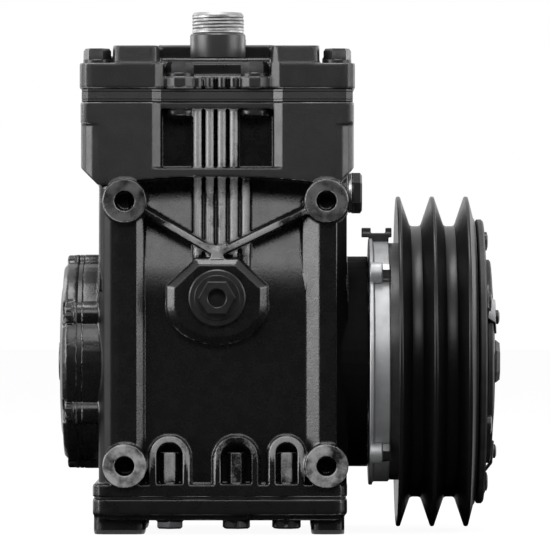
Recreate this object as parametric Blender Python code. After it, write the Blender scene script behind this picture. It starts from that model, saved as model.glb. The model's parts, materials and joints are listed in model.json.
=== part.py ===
"""Upright two cylinder compressor with a belt pulley and an electromagnetic clutch.

Sizes are in millimetres: X runs along the crankshaft with the clutch at +X, Y runs across from the near
side to the far side, and Z runs up from the feet. X is counted from the middle of the cylinder block.
Finished objects are in metres, with the middle of the whole compressor over the origin.
"""

import math

import bmesh
import bpy
from mathutils import Matrix, Vector

MM = 0.001
GAP = 0.3
SIDES = (-1, 1)
FLAT_ANGLES = (0.4, 0.05, 0.0)

# Crank train
CRANK_Z = 78.0
THROW = 14.0
BORE_X = 26.0
BORE_R = 23.8
PISTON_R = 23.45
CROWN_TOP = 195.8
CROWN_TO_PIN = 22.0
PISTON_HEIGHT = 36.0
RING_DROP = 6.0
RING_TALL = 2.4
WRIST_R = 6.0
PIN_R, EYE_R = 13.0, 13.9
PIN_HALF = 8.4
ROD_HALF = 7.4
REAR_JOURNAL_R = 10.0
FRONT_JOURNAL_R = 14.0
SHAFT_R = 11.0
TAPER_X, NOSE_R, NOSE_X = 86.0, 9.2, 112.0
REAR_TIP = -66.0
PLUG_R = 2.0
PLUG_LONG = 6.0

# Crankcase and cylinder stacks
CASE_REAR, CASE_FRONT = -53.9, 58.8
CASE_LOW = 17.4
PANEL_Y = 46.0
COLUMN_Y, COLUMN_ROUND = 50.0, 9.0
ROOF_LOW, ROOF_HIGH, ROOF_TOP_Y = 116.0, 160.0, 33.0
CHAMBER = (-49.0, 51.0, 38.0, 118.0)
STACK_X, STACK_Y = 62.0, 50.0
DECK_Z, DECK_LOW = 196.4, 187.0
ARCH_END_X, ARCH_END_Z, ARCH_RISE = 54.0, 158.6, 4.1
STACK_CHAMFER_Z = 166.5
RECESS_X, RECESS_Y, RECESS_LOW, RECESS_HIGH = 25.5, 36.0, 166.3, 193.5
FLANGE_Y, LUG_LOW = 47.0, 190.2
FLARE_WIDE, FLARE_DEEP = 4.1, 3.0
RIB_X = (-9.0, -3.5, 2.0, 7.5, 13.0)
RIB_HALF, RIB_RIDGE, RIB_DROP, RIB_DEEP = 2.0, 0.5, 1.1, 10.0
RIB_Y, ROOF_RIB_Y, ROOF_RIB_LEAN = 44.5, 48.0, 0.232
BOSS_X = (-41.9, 49.5)
BOSS_Z = (31.5, 151.5)
BOSS_R, BOSS_HOLE_R, BOSS_Y, BOSS_DEEP = 10.0, 4.75, 55.0, 14.0
PLUG_Z, PLUG_HOLE_R, PLUG_FACE_Y = 107.5, 10.0, 52.5
BOLT_ARCHES = ((-21.6, 9.6), (8.6, 10.6), (31.4, 8.6))
ARCH_LOW, ARCH_TOP, ARCH_WALL = 18.0, 45.0, 2.6
BASE_BOLT_Y = 45.4
REAR_FACE, REAR_R, REAR_HOLE_R = -62.0, 46.0, 38.0
REAR_BOLT_R, REAR_EAR_R, REAR_BOLTS = 43.5, 5.9, 6
COVER_LOW, COVER_SEAT, SEAL_THICK = -72.0, -65.6, 1.0
FRONT_FACE, FRONT_R = 69.0, 48.5
FRONT_SEAT_R, FRONT_SEAT_END, SEAL_R = 23.3, 62.0, 19.0
SERVICE_PLUG = (59.4, -35.5, 155.2)

# Head, valve plate and gaskets
PLATE_GASKET = (196.7, 197.5)
VALVE_PLATE = (197.8, 201.0)
HEAD_GASKET = (201.3, 202.1)
HEAD_LOW, HEAD_LAND, HEAD_TOP = 202.4, 214.0, 222.0
HEAD_X, HEAD_Y = 62.5, 50.5
PAD_Z, PAD_Y, SIDE_LAND = 216.5, 35.5, 208.0
RIDGE_TOP, HEAD_RIB_Y = 224.0, 46.5
PORT_Y, PORT_BORE_R, PORT_TOP = 21.0, 7.5, 238.0
CORNER_BOLTS = [(x, y) for x in (-54.5, 54.5) for y in (-42.5, 42.5)]
SIDE_BOLT_X = (-17.0, 17.0)
SIDE_BOLTS = [(x, y) for x in SIDE_BOLT_X for y in (-42.9, 42.9)]
BOLT_HOLE_R, BOLT_R, BOLT_FLANGE_R = 3.8, 3.0, 6.4

# Base
BASE_X = (-56.6, 59.0)
BASE_Y, BASE_LOW, BASE_TOP = 50.0, 6.5, 16.3
FEET_X = ((-56.2, -32.8), (42.6, 57.8))
FEET_Y = (18.0, 43.0)

# Clutch
COIL_FACE, COIL_END = 69.3, 102.0
COIL_R, COIL_PLATE_R = 55.5, 57.0
COIL_WALLS, COIL_FLOOR = (53.2, 47.4, 45.0), 6.0
PULLEY_R, GROOVE_R = 76.2, 63.0
PULLEY_BACK, PULLEY_FACE = 85.3, 118.0
TIP_X = (83.0, 98.6, 114.2)
TIP_HALF = 0.7
GROOVE_ANGLE = math.radians(19)
BEARING_R, SLEEVE_R = 34.6, 20.0
PULLEY_BORE_R, SNAP_R, SNAP_GROOVE = 35.3, 37.3, (87.1, 89.9)
POCKET_R, POCKET_END = 57.0, 106.0
ARMATURE = (118.8, 122.0)
ARMATURE_R, RIVET_RING_R = 65.6, 55.5
HUB_PLATE = (122.6, 125.4)
WASHER_SEAT, WASHER_TOP = 117.0, 120.6
REAR_END, FRONT_END = -73.5, 130.0
CENTRE_X = (REAR_END + FRONT_END) / 2


def clear_scene():
    for item in list(bpy.data.objects):
        bpy.data.objects.remove(item)


def material(name, colour, roughness, metallic):
    """A plain finish: colour as linear red, green and blue."""
    finish = bpy.data.materials.new(name)
    finish.use_nodes = True
    shader = finish.node_tree.nodes["Principled BSDF"]
    shader.inputs["Base Color"].default_value = (*colour, 1.0)
    shader.inputs["Roughness"].default_value = roughness
    shader.inputs["Metallic"].default_value = metallic
    finish.diffuse_color = (*colour, 1.0)
    return finish


def axis_point(name, place, parent=None):
    """An empty at a place in millimetres, which pieces hang from."""
    item = bpy.data.objects.new(name, None)
    bpy.context.collection.objects.link(item)
    start = Vector(parent["place"]) if parent else Vector((CENTRE_X, 0, 0))
    item.parent = parent
    item.location = (Vector(place) - start) * MM
    item["place"] = place
    return item


def new_body(shape):
    """An object from a bmesh, with its faces turned outwards."""
    bmesh.ops.recalc_face_normals(shape, faces=shape.faces)
    mesh = bpy.data.meshes.new("body")
    shape.to_mesh(mesh)
    shape.free()
    body = bpy.data.objects.new("body", mesh)
    bpy.context.collection.objects.link(body)
    return body


def in_space(axis, u, v, along):
    """A point of an outline (u, v), pulled along an axis."""
    return {"X": (along, u, v), "Y": (u, along, v), "Z": (u, v, along)}[axis]


def prism(outline, axis, low, high, taper=1.0, about=(0.0, 0.0)):
    """A closed outline pulled from low to high, its far end drawn in by the taper."""
    shape = bmesh.new()
    ends = []
    for along, scale in ((low, 1.0), (high, taper)):
        drawn = [(about[0] + (u - about[0]) * scale, about[1] + (v - about[1]) * scale) for u, v in outline]
        ends.append([shape.verts.new(in_space(axis, u, v, along)) for u, v in drawn])
    bottom, top = ends
    count = len(outline)
    for i in range(count):
        j = (i + 1) % count
        shape.faces.new((bottom[i], bottom[j], top[j], top[i]))
    shape.faces.new(bottom)
    shape.faces.new(top)
    return new_body(shape)


def turned(profile, axis="X", centre=(0.0, CRANK_Z), steps=32):
    """A closed profile of (radius, along) points turned about an axis."""
    shape = bmesh.new()
    rings = []
    for k in range(steps):
        angle = 2 * math.pi * k / steps
        c, s = math.cos(angle), math.sin(angle)
        spots = [in_space(axis, centre[0] + r * c, centre[1] + r * s, along) for r, along in profile]
        rings.append([shape.verts.new(spot) for spot in spots])
    count = len(profile)
    for k in range(steps):
        here, there = rings[k], rings[(k + 1) % steps]
        for i in range(count):
            j = (i + 1) % count
            if profile[i][0] == 0 and profile[j][0] == 0:
                continue
            shape.faces.new((here[i], here[j], there[j], there[i]))
    bmesh.ops.remove_doubles(shape, verts=shape.verts, dist=1e-4)
    bmesh.ops.dissolve_degenerate(shape, edges=shape.edges, dist=1e-5)
    return new_body(shape)


def circle(radius, centre=(0.0, CRANK_Z), steps=24, turn=0.0):
    spots = [turn + 2 * math.pi * k / steps for k in range(steps)]
    return [(centre[0] + radius * math.cos(a), centre[1] + radius * math.sin(a)) for a in spots]


def rod(radius, axis, low, high, centre=(0.0, CRANK_Z), steps=24):
    return prism(circle(radius, centre, steps), axis, low, high)


def hexagon(across_flats, centre, turn=0.0):
    return circle(across_flats / math.sqrt(3), centre, 6, turn)


def tube(inner, outer, low, high, axis="X", centre=(0.0, CRANK_Z), steps=32):
    return turned([(inner, low), (outer, low), (outer, high), (inner, high)], axis, centre, steps)


def box(x, y, z):
    """A block from three (low, high) pairs."""
    return prism([(x[0], y[0]), (x[1], y[0]), (x[1], y[1]), (x[0], y[1])], "Z", *z)


def arc(centre, radius, first, last, steps):
    """Points on an arc, angles in degrees."""
    spots = [math.radians(first + (last - first) * k / steps) for k in range(steps + 1)]
    return [(centre[0] + radius * math.cos(a), centre[1] + radius * math.sin(a)) for a in spots]


def rounded(corners, steps=4):
    """An outline whose corners (u, v, radius) are rounded off."""
    outline = []
    for i, (u, v, radius) in enumerate(corners):
        here = Vector((u, v))
        before = (Vector(corners[i - 1][:2]) - here).normalized()
        after = (Vector(corners[(i + 1) % len(corners)][:2]) - here).normalized()
        if radius == 0:
            outline.append((u, v))
            continue
        half = before.angle(after) / 2
        middle = here + (before + after).normalized() * radius / math.sin(half)
        reach = radius / math.tan(half)
        first = here + before * reach - middle
        last = here + after * reach - middle
        start = math.atan2(first.y, first.x)
        sweep = math.atan2(first.x * last.y - first.y * last.x, first.dot(last))
        for k in range(steps + 1):
            angle = start + sweep * k / steps
            outline.append((middle.x + radius * math.cos(angle), middle.y + radius * math.sin(angle)))
    return outline


def rounded_box(x, y, radius, steps=4):
    """A rectangle outline from two (low, high) pairs with rounded corners."""
    corners = [(x[0], y[0]), (x[1], y[0]), (x[1], y[1]), (x[0], y[1])]
    return rounded([(u, v, radius) for u, v in corners], steps)


def combine(body, tools, operation):
    """Works the tools into the body and takes them away."""
    for tool in tools:
        step = body.modifiers.new("step", "BOOLEAN")
        step.operation = operation
        step.solver = "EXACT"
        step.object = tool
    graph = bpy.context.evaluated_depsgraph_get()
    mesh = bpy.data.meshes.new_from_object(body.evaluated_get(graph))
    body.modifiers.clear()
    body.data = mesh
    for tool in tools:
        bpy.data.objects.remove(tool)
    return body


def fuse(body, *tools):
    return combine(body, tools, "UNION")


def cut(body, *tools):
    return combine(body, tools, "DIFFERENCE")


def common(body, tool):
    return combine(body, [tool], "INTERSECT")


def tidy_faces(mesh):
    """Joins faces that lie in one plane, as far as the surface stays closed, then makes triangles."""
    for flat in FLAT_ANGLES:
        shape = bmesh.new()
        shape.from_mesh(mesh)
        bmesh.ops.remove_doubles(shape, verts=shape.verts, dist=1e-4)
        bmesh.ops.dissolve_degenerate(shape, edges=shape.edges, dist=1e-4)
        bmesh.ops.dissolve_limit(shape, angle_limit=math.radians(flat), verts=shape.verts, edges=shape.edges)
        bmesh.ops.triangulate(shape, faces=shape.faces)
        closed = all(len(edge.link_faces) == 2 for edge in shape.edges)
        if closed or flat == FLAT_ANGLES[-1]:
            shape.to_mesh(mesh)
        shape.free()
        if closed:
            return


def add(name, body, finish, at):
    """Names a body, gives it its finish and hangs it on its axis point, in metres."""
    tidy_faces(body.data)
    body.data.transform(Matrix.Scale(MM, 4) @ Matrix.Translation(-Vector(at["place"])))
    body.data.materials.clear()
    body.data.materials.append(finish)
    body.data.shade_smooth()
    body.data.set_sharp_from_angle(angle=math.radians(32))
    body.name = name
    body.data.name = name
    body.parent = at
    return body


def hex_bolt(x, y, seat, shank_end):
    """A flanged hexagon bolt standing on a seat, with its shank pointing down."""
    head = rod(BOLT_FLANGE_R, "Z", seat, seat + 1.5, (x, y), 8)
    hexagonal = prism(hexagon(11.0, (x, y), math.pi / 6), "Z", seat + 1.0, seat + 6.4)
    shank = rod(BOLT_R, "Z", shank_end, seat + 0.5, (x, y), 6)
    return fuse(head, hexagonal, shank)


def bolt_holes(spots, low, high):
    return [rod(BOLT_HOLE_R, "Z", low, high, spot, 6) for spot in spots]


def stacks():
    """The twin cylinder stacks: flat sides, an arched lower edge and a ribbed recess between them."""
    radius = (ARCH_END_X ** 2 + ARCH_RISE ** 2) / (2 * ARCH_RISE)
    half = math.degrees(math.asin(ARCH_END_X / radius))
    middle = (0.0, ARCH_END_Z + ARCH_RISE - radius)
    lower_edge = arc(middle, radius, 90 + half, 90 - half, 7)
    rear, front = ([(x, DECK_LOW), (x, STACK_CHAMFER_Z)] for x in (-STACK_X, STACK_X))
    body = prism([*rear, *lower_edge, *reversed(front)], "Y", -STACK_Y, STACK_Y)
    plan = rounded_box((-STACK_X, STACK_X), (-STACK_Y, STACK_Y), 8.5, 4)
    body = common(body, prism(plan, "Z", ARCH_END_Z - 10, DECK_Z))
    deck = rounded_box((-STACK_X, STACK_X), (-STACK_Y, STACK_Y), 3.0, 2)
    body = fuse(body, prism(deck, "Z", DECK_LOW - 0.5, DECK_Z))
    for side in SIDES:
        recess = prism(recess_plan(RECESS_X, RECESS_Y, STACK_Y, side), "Z", RECESS_LOW, RECESS_HIGH)
        lip = prism(recess_plan(RECESS_X, FLANGE_Y, STACK_Y, side), "Z", RECESS_HIGH - 1, DECK_Z + 1)
        cut(body, recess, lip)
        lugs = [rod(6.9, "Z", LUG_LOW, RECESS_HIGH + 1, (x, side * 40.0), 12) for x in SIDE_BOLT_X]
        fuse(body, *lugs)
    return body


def recess_plan(half, bottom, face, side):
    """The recess between the stacks from above, with edges that open out towards the face."""
    wide = half + FLARE_WIDE
    front = list(dict.fromkeys([(half, bottom), (half, face - FLARE_DEEP), (wide, face), (wide, face + 3)]))
    return [(x, side * y) for x, y in front + [(-x, y) for x, y in reversed(front)]]


def corner_columns(side):
    """The upright corner columns that carry the side bosses, with sloped flanks to the panel."""
    corner = arc((CASE_REAR + COLUMN_ROUND, COLUMN_Y - COLUMN_ROUND), COLUMN_ROUND, 180, 90, 4)
    rear = [(CASE_REAR, 30), *corner, (-36.7, COLUMN_Y), (-33.2, 47.4), (-33.2, 30)]
    front = [(38.5, 30), (38.5, 45), (46.5, COLUMN_Y), (54, COLUMN_Y), (CASE_FRONT, 45), (CASE_FRONT, 30)]
    return [prism([(x, side * y) for x, y in plan], "Z", CASE_LOW, BOSS_Z[1]) for plan in (rear, front)]


def boss(x, z, side):
    """A mounting boss on a corner column."""
    return rod(BOSS_R, "Y", side * 32, side * BOSS_Y, (x, z), 12)


def v_rib(side):
    """The two arms of the V rib that run from the upper bosses down to the plug boss."""
    arms = []
    for x, z in ((BOSS_X[0] + 6, 148.6), (BOSS_X[1] - 6, 148.6)):
        start, end = Vector((x, z)), Vector((0.0, 127.6))
        across = (end - start).orthogonal().normalized()
        for half, crest, more in ((2.1, 48.4, 0.0), (1.2, 50.0, 0.6)):
            normal = across * half
            tip = end + (end - start).normalized() * more
            corners = [start + normal, start - normal, tip - normal, tip + normal]
            arms.append(prism([tuple(p) for p in corners], "Y", side * 32, side * crest))
    neck = [(-4.5, 120), (4.5, 120), (2.4, 128), (-2.4, 128)]
    return arms + [prism(neck, "Y", side * 32, side * 50)]


def plug_boss(side):
    """The oil plug boss: facets above, round below, drawn in towards its face."""
    half, shoulder, edge = 22.9, -4.2, PLUG_FACE_Y - 2.6
    top = [(half, shoulder), (half, 5.3), (9.8, 17.7), (-9.8, 17.7), (-half, 5.3), (-half, shoulder)]
    turns = [math.pi * (9 - k) / 9 for k in range(1, 9)]
    below = [(half * math.cos(a), shoulder - 17.0 * math.sin(a)) for a in turns]
    outline = [(x, PLUG_Z + z) for x, z in top + below]
    bevel = prism(outline, "Y", side * (edge - 0.4), side * PLUG_FACE_Y, 0.84, (0.0, PLUG_Z))
    return [prism(outline, "Y", side * 40, side * edge), bevel]


def arch_outline(x, half, top):
    return [(x - half, ARCH_LOW), (x + half, ARCH_LOW), *arc((x, top - half), half, 0, 180, 5)]


def base_bolt_arches(side):
    """Raised arches along the lower edge of a side panel, and the pockets cut into them."""
    rims, pockets = [], []
    for x, half in BOLT_ARCHES:
        outline = arch_outline(x, half, ARCH_TOP)
        rims.append(prism(outline, "Y", side * 40, side * 50))
        rims.append(prism(outline, "Y", side * 49.4, side * 51, 0.88, (x, ARCH_LOW + 3)))
        inner = half - ARCH_WALL
        outline = [(u, max(v, 23.0)) for u, v in arch_outline(x, inner, ARCH_TOP - ARCH_WALL)]
        pockets.append(prism(outline, "Y", side * 42, side * 56))
    columns = [rod(4.4, "Z", CASE_LOW + 2, 37.5, (x, side * BASE_BOLT_Y), 6) for x, _ in BOLT_ARCHES]
    return rims, pockets, columns


def rear_ears(low, high, radius=REAR_EAR_R):
    """The bolt columns round the rear bearing housing."""
    ears = []
    for k in range(REAR_BOLTS):
        angle = math.radians(30 + 360 * k / REAR_BOLTS)
        spot = (REAR_BOLT_R * math.cos(angle), CRANK_Z + REAR_BOLT_R * math.sin(angle))
        ears.append(rod(radius, "X", low, high, spot, 8))
    return ears


def crankcase():
    """Crankcase, cylinder stacks and bearing housings in one casting."""
    panel = rounded_box((CASE_REAR, CASE_FRONT), (-PANEL_Y, PANEL_Y), 3.0, 1)
    body = prism(panel, "Z", CASE_LOW, ROOF_LOW)
    slope = [(-PANEL_Y, ROOF_LOW), (-ROOF_TOP_Y, ROOF_HIGH), (-ROOF_TOP_Y, ROOF_HIGH + 8)]
    roof = [(-PANEL_Y, ROOF_LOW - 5), *slope, *[(-y, z) for y, z in reversed(slope)], (PANEL_Y, ROOF_LOW - 5)]
    fuse(body, prism(roof, "X", CASE_REAR, CASE_FRONT), stacks())
    flange = rounded_box(BASE_X, (-51.0, 51.0), 6.0, 3)
    fuse(body, prism(flange, "Z", CASE_LOW, 22.8))
    for side in SIDES:
        bosses = [boss(x, z, side) for x in BOSS_X for z in BOSS_Z]
        fuse(body, *corner_columns(side), *bosses, *v_rib(side), *plug_boss(side))
        rims, pockets, columns = base_bolt_arches(side)
        fuse(body, *rims)
        cut(body, *pockets)
        fuse(body, *columns)
        fuse(body, *side_ribs(side))
    fuse(body, rod(REAR_R, "X", REAR_FACE, CASE_REAR + 4, steps=24), *rear_ears(REAR_FACE, CASE_REAR + 2))
    fuse(body, rod(FRONT_R, "X", CASE_FRONT - 4, FRONT_FACE, steps=24), service_boss())
    hollow_out(body)
    return body


def rib(x, side, crest, low, high, lean=0.0):
    """An upright rib with a gabled crest, which leans back as it rises."""
    flank = [(RIB_HALF, crest - RIB_DEEP), (RIB_HALF, crest - RIB_DROP), (RIB_RIDGE, crest)]
    plan = flank + [(-u, y) for u, y in reversed(flank)]
    body = prism([(x + u, side * y) for u, y in plan], "Z", low, high)
    shear = Matrix.Identity(4)
    shear[1][2] = -side * lean
    shear[1][3] = side * lean * low
    body.data.transform(shear)
    return body


def side_ribs(side):
    """Upright ribs in the recess between the stacks, and ribs that follow the sloped roof."""
    ribs = [rib(x, side, ROOF_RIB_Y, ROOF_LOW + 1, RECESS_LOW - 1.3, ROOF_RIB_LEAN) for x in RIB_X]
    return ribs + [rib(x, side, RIB_Y, RECESS_LOW - 1, RECESS_HIGH + 0.5) for x in RIB_X[:4]]


def service_boss():
    face, y, z = SERVICE_PLUG
    return rod(10.0, "X", CASE_FRONT - 12, face, (y, z), 12)


def hollow_out(body):
    """Cuts the crank chamber, the bores, the bearing seats and the tapped holes."""
    rear, front, half, top = CHAMBER
    chamber = prism(rounded_box((rear, front), (-half, half), 8.0, 2), "Z", CASE_LOW - 5, top)
    bores = [rod(BORE_R, "Z", top - 8, DECK_Z + 5, (x, 0.0), 24) for x in (-BORE_X, BORE_X)]
    cut(body, chamber, *bores)
    seat = rod(FRONT_SEAT_R, "X", front - 4, FRONT_SEAT_END, steps=16)
    seal = rod(SEAL_R, "X", FRONT_SEAT_END - 2, FRONT_FACE + 2, steps=16)
    rear_hole = rod(REAR_HOLE_R, "X", REAR_FACE - 2, rear + 4, steps=20)
    cut(body, seat, seal, rear_hole)
    holes = []
    for side in SIDES:
        deep = (side * (BOSS_Y - BOSS_DEEP), side * (BOSS_Y + 2))
        holes += [rod(BOSS_HOLE_R, "Y", *deep, (x, z), 10) for x in BOSS_X for z in BOSS_Z]
        holes.append(rod(PLUG_HOLE_R, "Y", side * (half - 4), side * (PLUG_FACE_Y + 2), (0.0, PLUG_Z), 12))
    face, y, z = SERVICE_PLUG
    holes.append(rod(6.3, "X", face - 11, face + 2, (y, z), 8))
    cut(body, *holes)
    cut(body, *bolt_holes(CORNER_BOLTS, 172.0, DECK_Z + 2), *bolt_holes(SIDE_BOLTS, LUG_LOW + 1, DECK_Z + 2))


def joint_outline():
    """The plan that the valve plate and both gaskets share, drawn in at the recesses."""
    end, edge = STACK_X - 0.5, STACK_Y - 0.3
    front = [(RECESS_X, FLANGE_Y, 0), (RECESS_X + FLARE_WIDE, edge, 0), (end, edge, 3)]
    rear = [(-x, y, r) for x, y, r in reversed(front)]
    near = [(x, -y, r) for x, y, r in rear + front]
    far = [(-x, -y, r) for x, y, r in near]
    return rounded(near + far, 1)


def gasket(low, high):
    body = prism(joint_outline(), "Z", low, high)
    windows = [rod(BORE_R + 0.8, "Z", low - 1, high + 1, (x, 0.0), 18) for x in (-BORE_X, BORE_X)]
    spots = CORNER_BOLTS + SIDE_BOLTS
    return cut(body, *windows, *bolt_holes(spots, low - 1, high + 1))


def valve_plate():
    low, high = VALVE_PLATE
    body = prism(joint_outline(), "Z", low, high)
    ports = []
    for x in (-BORE_X, BORE_X):
        places = [(x + dx, y) for dx in (-7.0, 7.0) for y in (-11.0, 11.0)]
        ports += [rod(3.6, "Z", low - 1, high + 1, place, 6) for place in places]
    spots = CORNER_BOLTS + SIDE_BOLTS
    return cut(body, *ports, *bolt_holes(spots, low - 1, high + 1))


def reed(x, side, low, high):
    """A forked spring leaf that covers two ports, held at its heel."""
    y = side * 11.0
    heel = side * 3.4
    fork = [(-11, y + side * 5), (-3, y + side * 5), (-3, y - side * 2), (3, y - side * 2)]
    plan = fork + [(3, y + side * 5), (11, y + side * 5), (11, heel), (-11, heel)]
    return prism([(x + u, v) for u, v in plan], "Z", low, high)


def cylinder_head():
    """Head with raised chambers over the stacks, sunk bolt lands and the port pad between them."""
    body = prism(rounded_box((-HEAD_X, HEAD_X), (-HEAD_Y, HEAD_Y), 6.0, 3), "Z", HEAD_LOW, HEAD_LAND)
    for x in ((-47.5, -26.5), (24.5, 46.5)):
        cover = rounded_box(x, (-HEAD_Y, HEAD_Y), 3.5, 2)
        fuse(body, prism(cover, "Z", HEAD_LAND - 4, HEAD_TOP, 0.985, (sum(x) / 2, 0.0)))
    pad = rounded_box((-28.0, 26.0), (-PAD_Y, PAD_Y), 2.0, 1)
    ridge = rounded_box((-28.0, 26.0), (-6.0, 6.0), 2.0, 1)
    for side in SIDES:
        step = prism(recess_plan(24.3, PAD_Y + 0.5, HEAD_Y, side), "Z", SIDE_LAND, HEAD_TOP + 2)
        slot = prism(recess_plan(24.3, 43.5, HEAD_Y, side), "Z", HEAD_LOW - 1, SIDE_LAND + 2)
        cut(body, step, slot)
        lands = [rod(7.4, "Z", HEAD_LOW, SIDE_LAND, spot, 10) for spot in SIDE_BOLTS if spot[1] * side > 0]
        ribs = [rib(x, side, HEAD_RIB_Y, HEAD_LOW, SIDE_LAND) for x in RIB_X[:4]]
        fuse(body, *lands, *ribs)
    fuse(body, prism(pad, "Z", HEAD_LAND - 3, PAD_Z), prism(ridge, "Z", PAD_Z - 3, RIDGE_TOP))
    rooms = []
    for y in ((-33.0, -3.0), (3.0, 33.0)):
        rooms.append(prism(rounded_box((-45.0, 45.0), y, 5.0, 2), "Z", HEAD_LOW - 2, 210.5))
    ports = [rod(PORT_BORE_R, "Z", 209.0, PAD_Z + 2, (0.0, y), 12) for y in (-PORT_Y, PORT_Y)]
    spots = CORNER_BOLTS + SIDE_BOLTS
    return cut(body, *rooms, *ports, *bolt_holes(spots, HEAD_LOW - 1, HEAD_TOP + 2))


def port_fitting(y):
    """A port stub: a painted collar below and a bare threaded end above."""
    low = PAD_Z + GAP
    collar = [(12.2, low), (12.7, low + 0.6), (12.7, 228.0)]
    thread = [(11.8, 228.8), (11.8, PORT_TOP - 1.0), (10.9, PORT_TOP)]
    return turned(collar + thread + [(PORT_BORE_R, PORT_TOP), (PORT_BORE_R, low)], "Z", (0.0, y), 18)


def oil_plug(side):
    """A plug with a shank in the wall, a flange on the boss and a hexagon with a socket."""
    face = PLUG_FACE_Y + GAP
    shank = [(0, 42), (PLUG_HOLE_R - 0.7, 42), (PLUG_HOLE_R - 0.7, face)]
    flange = [(12.9, face), (12.9, face + 2.0), (12.1, face + 2.8), (0, face + 2.8)]
    body = turned([(r, side * y) for r, y in shank + flange], "Y", (0.0, PLUG_Z), 14)
    middle = (0.0, PLUG_Z)
    fuse(body, prism(hexagon(15.0, middle), "Y", side * (face + 2), side * (face + 7.4), 0.95, middle))
    return cut(body, rod(4.1, "Y", side * (face + 3.2), side * (face + 9), middle, 10))


def service_plug():
    face, y, z = SERVICE_PLUG
    low = face + 1.2 + 2 * GAP
    body = rod(5.6, "X", face - 8, low + 1, (y, z), 10)
    return fuse(body, prism(hexagon(16.0, (y, z)), "X", low, low + 4.6, 0.96, (y, z)))


def service_washer():
    face, y, z = SERVICE_PLUG
    return tube(6.4, 9.0, face + GAP, face + GAP + 1.2, "X", (y, z), 12)


def base_plate():
    """The sump plate: rim with a bead, pan, four feet and the heads of the base bolts."""
    body = prism(rounded_box(BASE_X, (-BASE_Y, BASE_Y), 6.0, 3), "Z", BASE_LOW + 2.6, BASE_TOP)
    inset = rounded_box((BASE_X[0] + 3, BASE_X[1] - 3), (-BASE_Y + 3, BASE_Y - 3), 5.0, 3)
    fuse(body, prism(inset, "Z", BASE_LOW, BASE_LOW + 4))
    cut(body, prism(rounded_box((-47.0, 49.0), (-36.0, 36.0), 8.0, 2), "Z", BASE_LOW + 3.5, BASE_TOP + 2))
    feet = []
    for x in FEET_X:
        for side in SIDES:
            deep = sorted((side * FEET_Y[0], side * FEET_Y[1]))
            feet.append(prism(rounded_box(x, deep, 4.0, 2), "Z", 0.0, BASE_LOW + 2))
    heads = []
    for x, _ in BOLT_ARCHES:
        for side in SIDES:
            heads.append(prism(hexagon(11.0, (x, side * 40.0), math.pi / 6), "Z", 2.9, BASE_LOW + 1.5))
    return fuse(body, *feet, *heads)


def base_gasket():
    low = BASE_TOP + GAP
    outline = rounded_box((BASE_X[0] + 0.6, BASE_X[1] - 0.6), (-BASE_Y + 0.4, BASE_Y - 0.4), 6.0, 3)
    opening = rounded_box((-48.0, 50.0), (-37.0, 37.0), 8.0, 2)
    return cut(prism(outline, "Z", low, CASE_LOW - GAP), prism(opening, "Z", low - 2, CASE_LOW + 2))


def rear_cover():
    """The rear bearing cover: bolt columns, a spigot and the carrier of the rear bearing."""
    low, high = COVER_LOW, REAR_FACE - SEAL_THICK - 2 * GAP
    spigot_r, spigot_end, carrier_end = REAR_HOLE_R - 0.6, REAR_FACE + 4, -52.0
    hub = [(0, REAR_END), (9, REAR_END), (9, low), (33, low)]
    outside = hub + [(37.5, low + 1.2), (43.8, low + 1.2), (REAR_R, low + 3.2)]
    spigot = [(REAR_R, high), (spigot_r, high), (spigot_r, spigot_end), (26.2, spigot_end)]
    carrier = [(26.2, carrier_end), (20.4, carrier_end), (20.4, REAR_TIP - 0.6), (0, REAR_TIP - 0.6)]
    body = turned(outside + spigot + carrier, steps=24)
    cut(body, *rear_ears(REAR_END - 2, COVER_SEAT, REAR_EAR_R + 0.5))
    return fuse(body, *rear_ears(COVER_SEAT, high), *rear_bolt_heads())


def rear_bolt_heads():
    heads = []
    for k in range(REAR_BOLTS):
        angle = math.radians(30 + 360 * k / REAR_BOLTS)
        spot = (REAR_BOLT_R * math.cos(angle), CRANK_Z + REAR_BOLT_R * math.sin(angle))
        heads.append(prism(hexagon(9.6, spot, angle), "X", COVER_SEAT - 3.8, COVER_SEAT + 1))
    return heads


def rear_seal():
    """The gasket under the rear cover, with the cover's outline."""
    low, high = REAR_FACE - SEAL_THICK - GAP, REAR_FACE - GAP
    body = rod(REAR_R, "X", low, high, steps=24)
    fuse(body, *rear_ears(low, high))
    return cut(body, rod(REAR_HOLE_R, "X", low - 1, high + 1, steps=24))


def bearing(inner, outer, low, high):
    """A ball bearing as one sealed ring."""
    return tube(inner, outer, low, high, steps=16)


def stadium(reach, radius, turn=90.0, centre=(0.0, CRANK_Z), steps=6):
    """Two round ends a reach to each side of the centre."""
    a = math.radians(turn)
    ends = []
    for sign in (1, -1):
        middle = (centre[0] + sign * reach * math.cos(a), centre[1] + sign * reach * math.sin(a))
        first = turn - 90 if sign > 0 else turn + 90
        ends += arc(middle, radius, first, first + 180, steps)
    return ends


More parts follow.
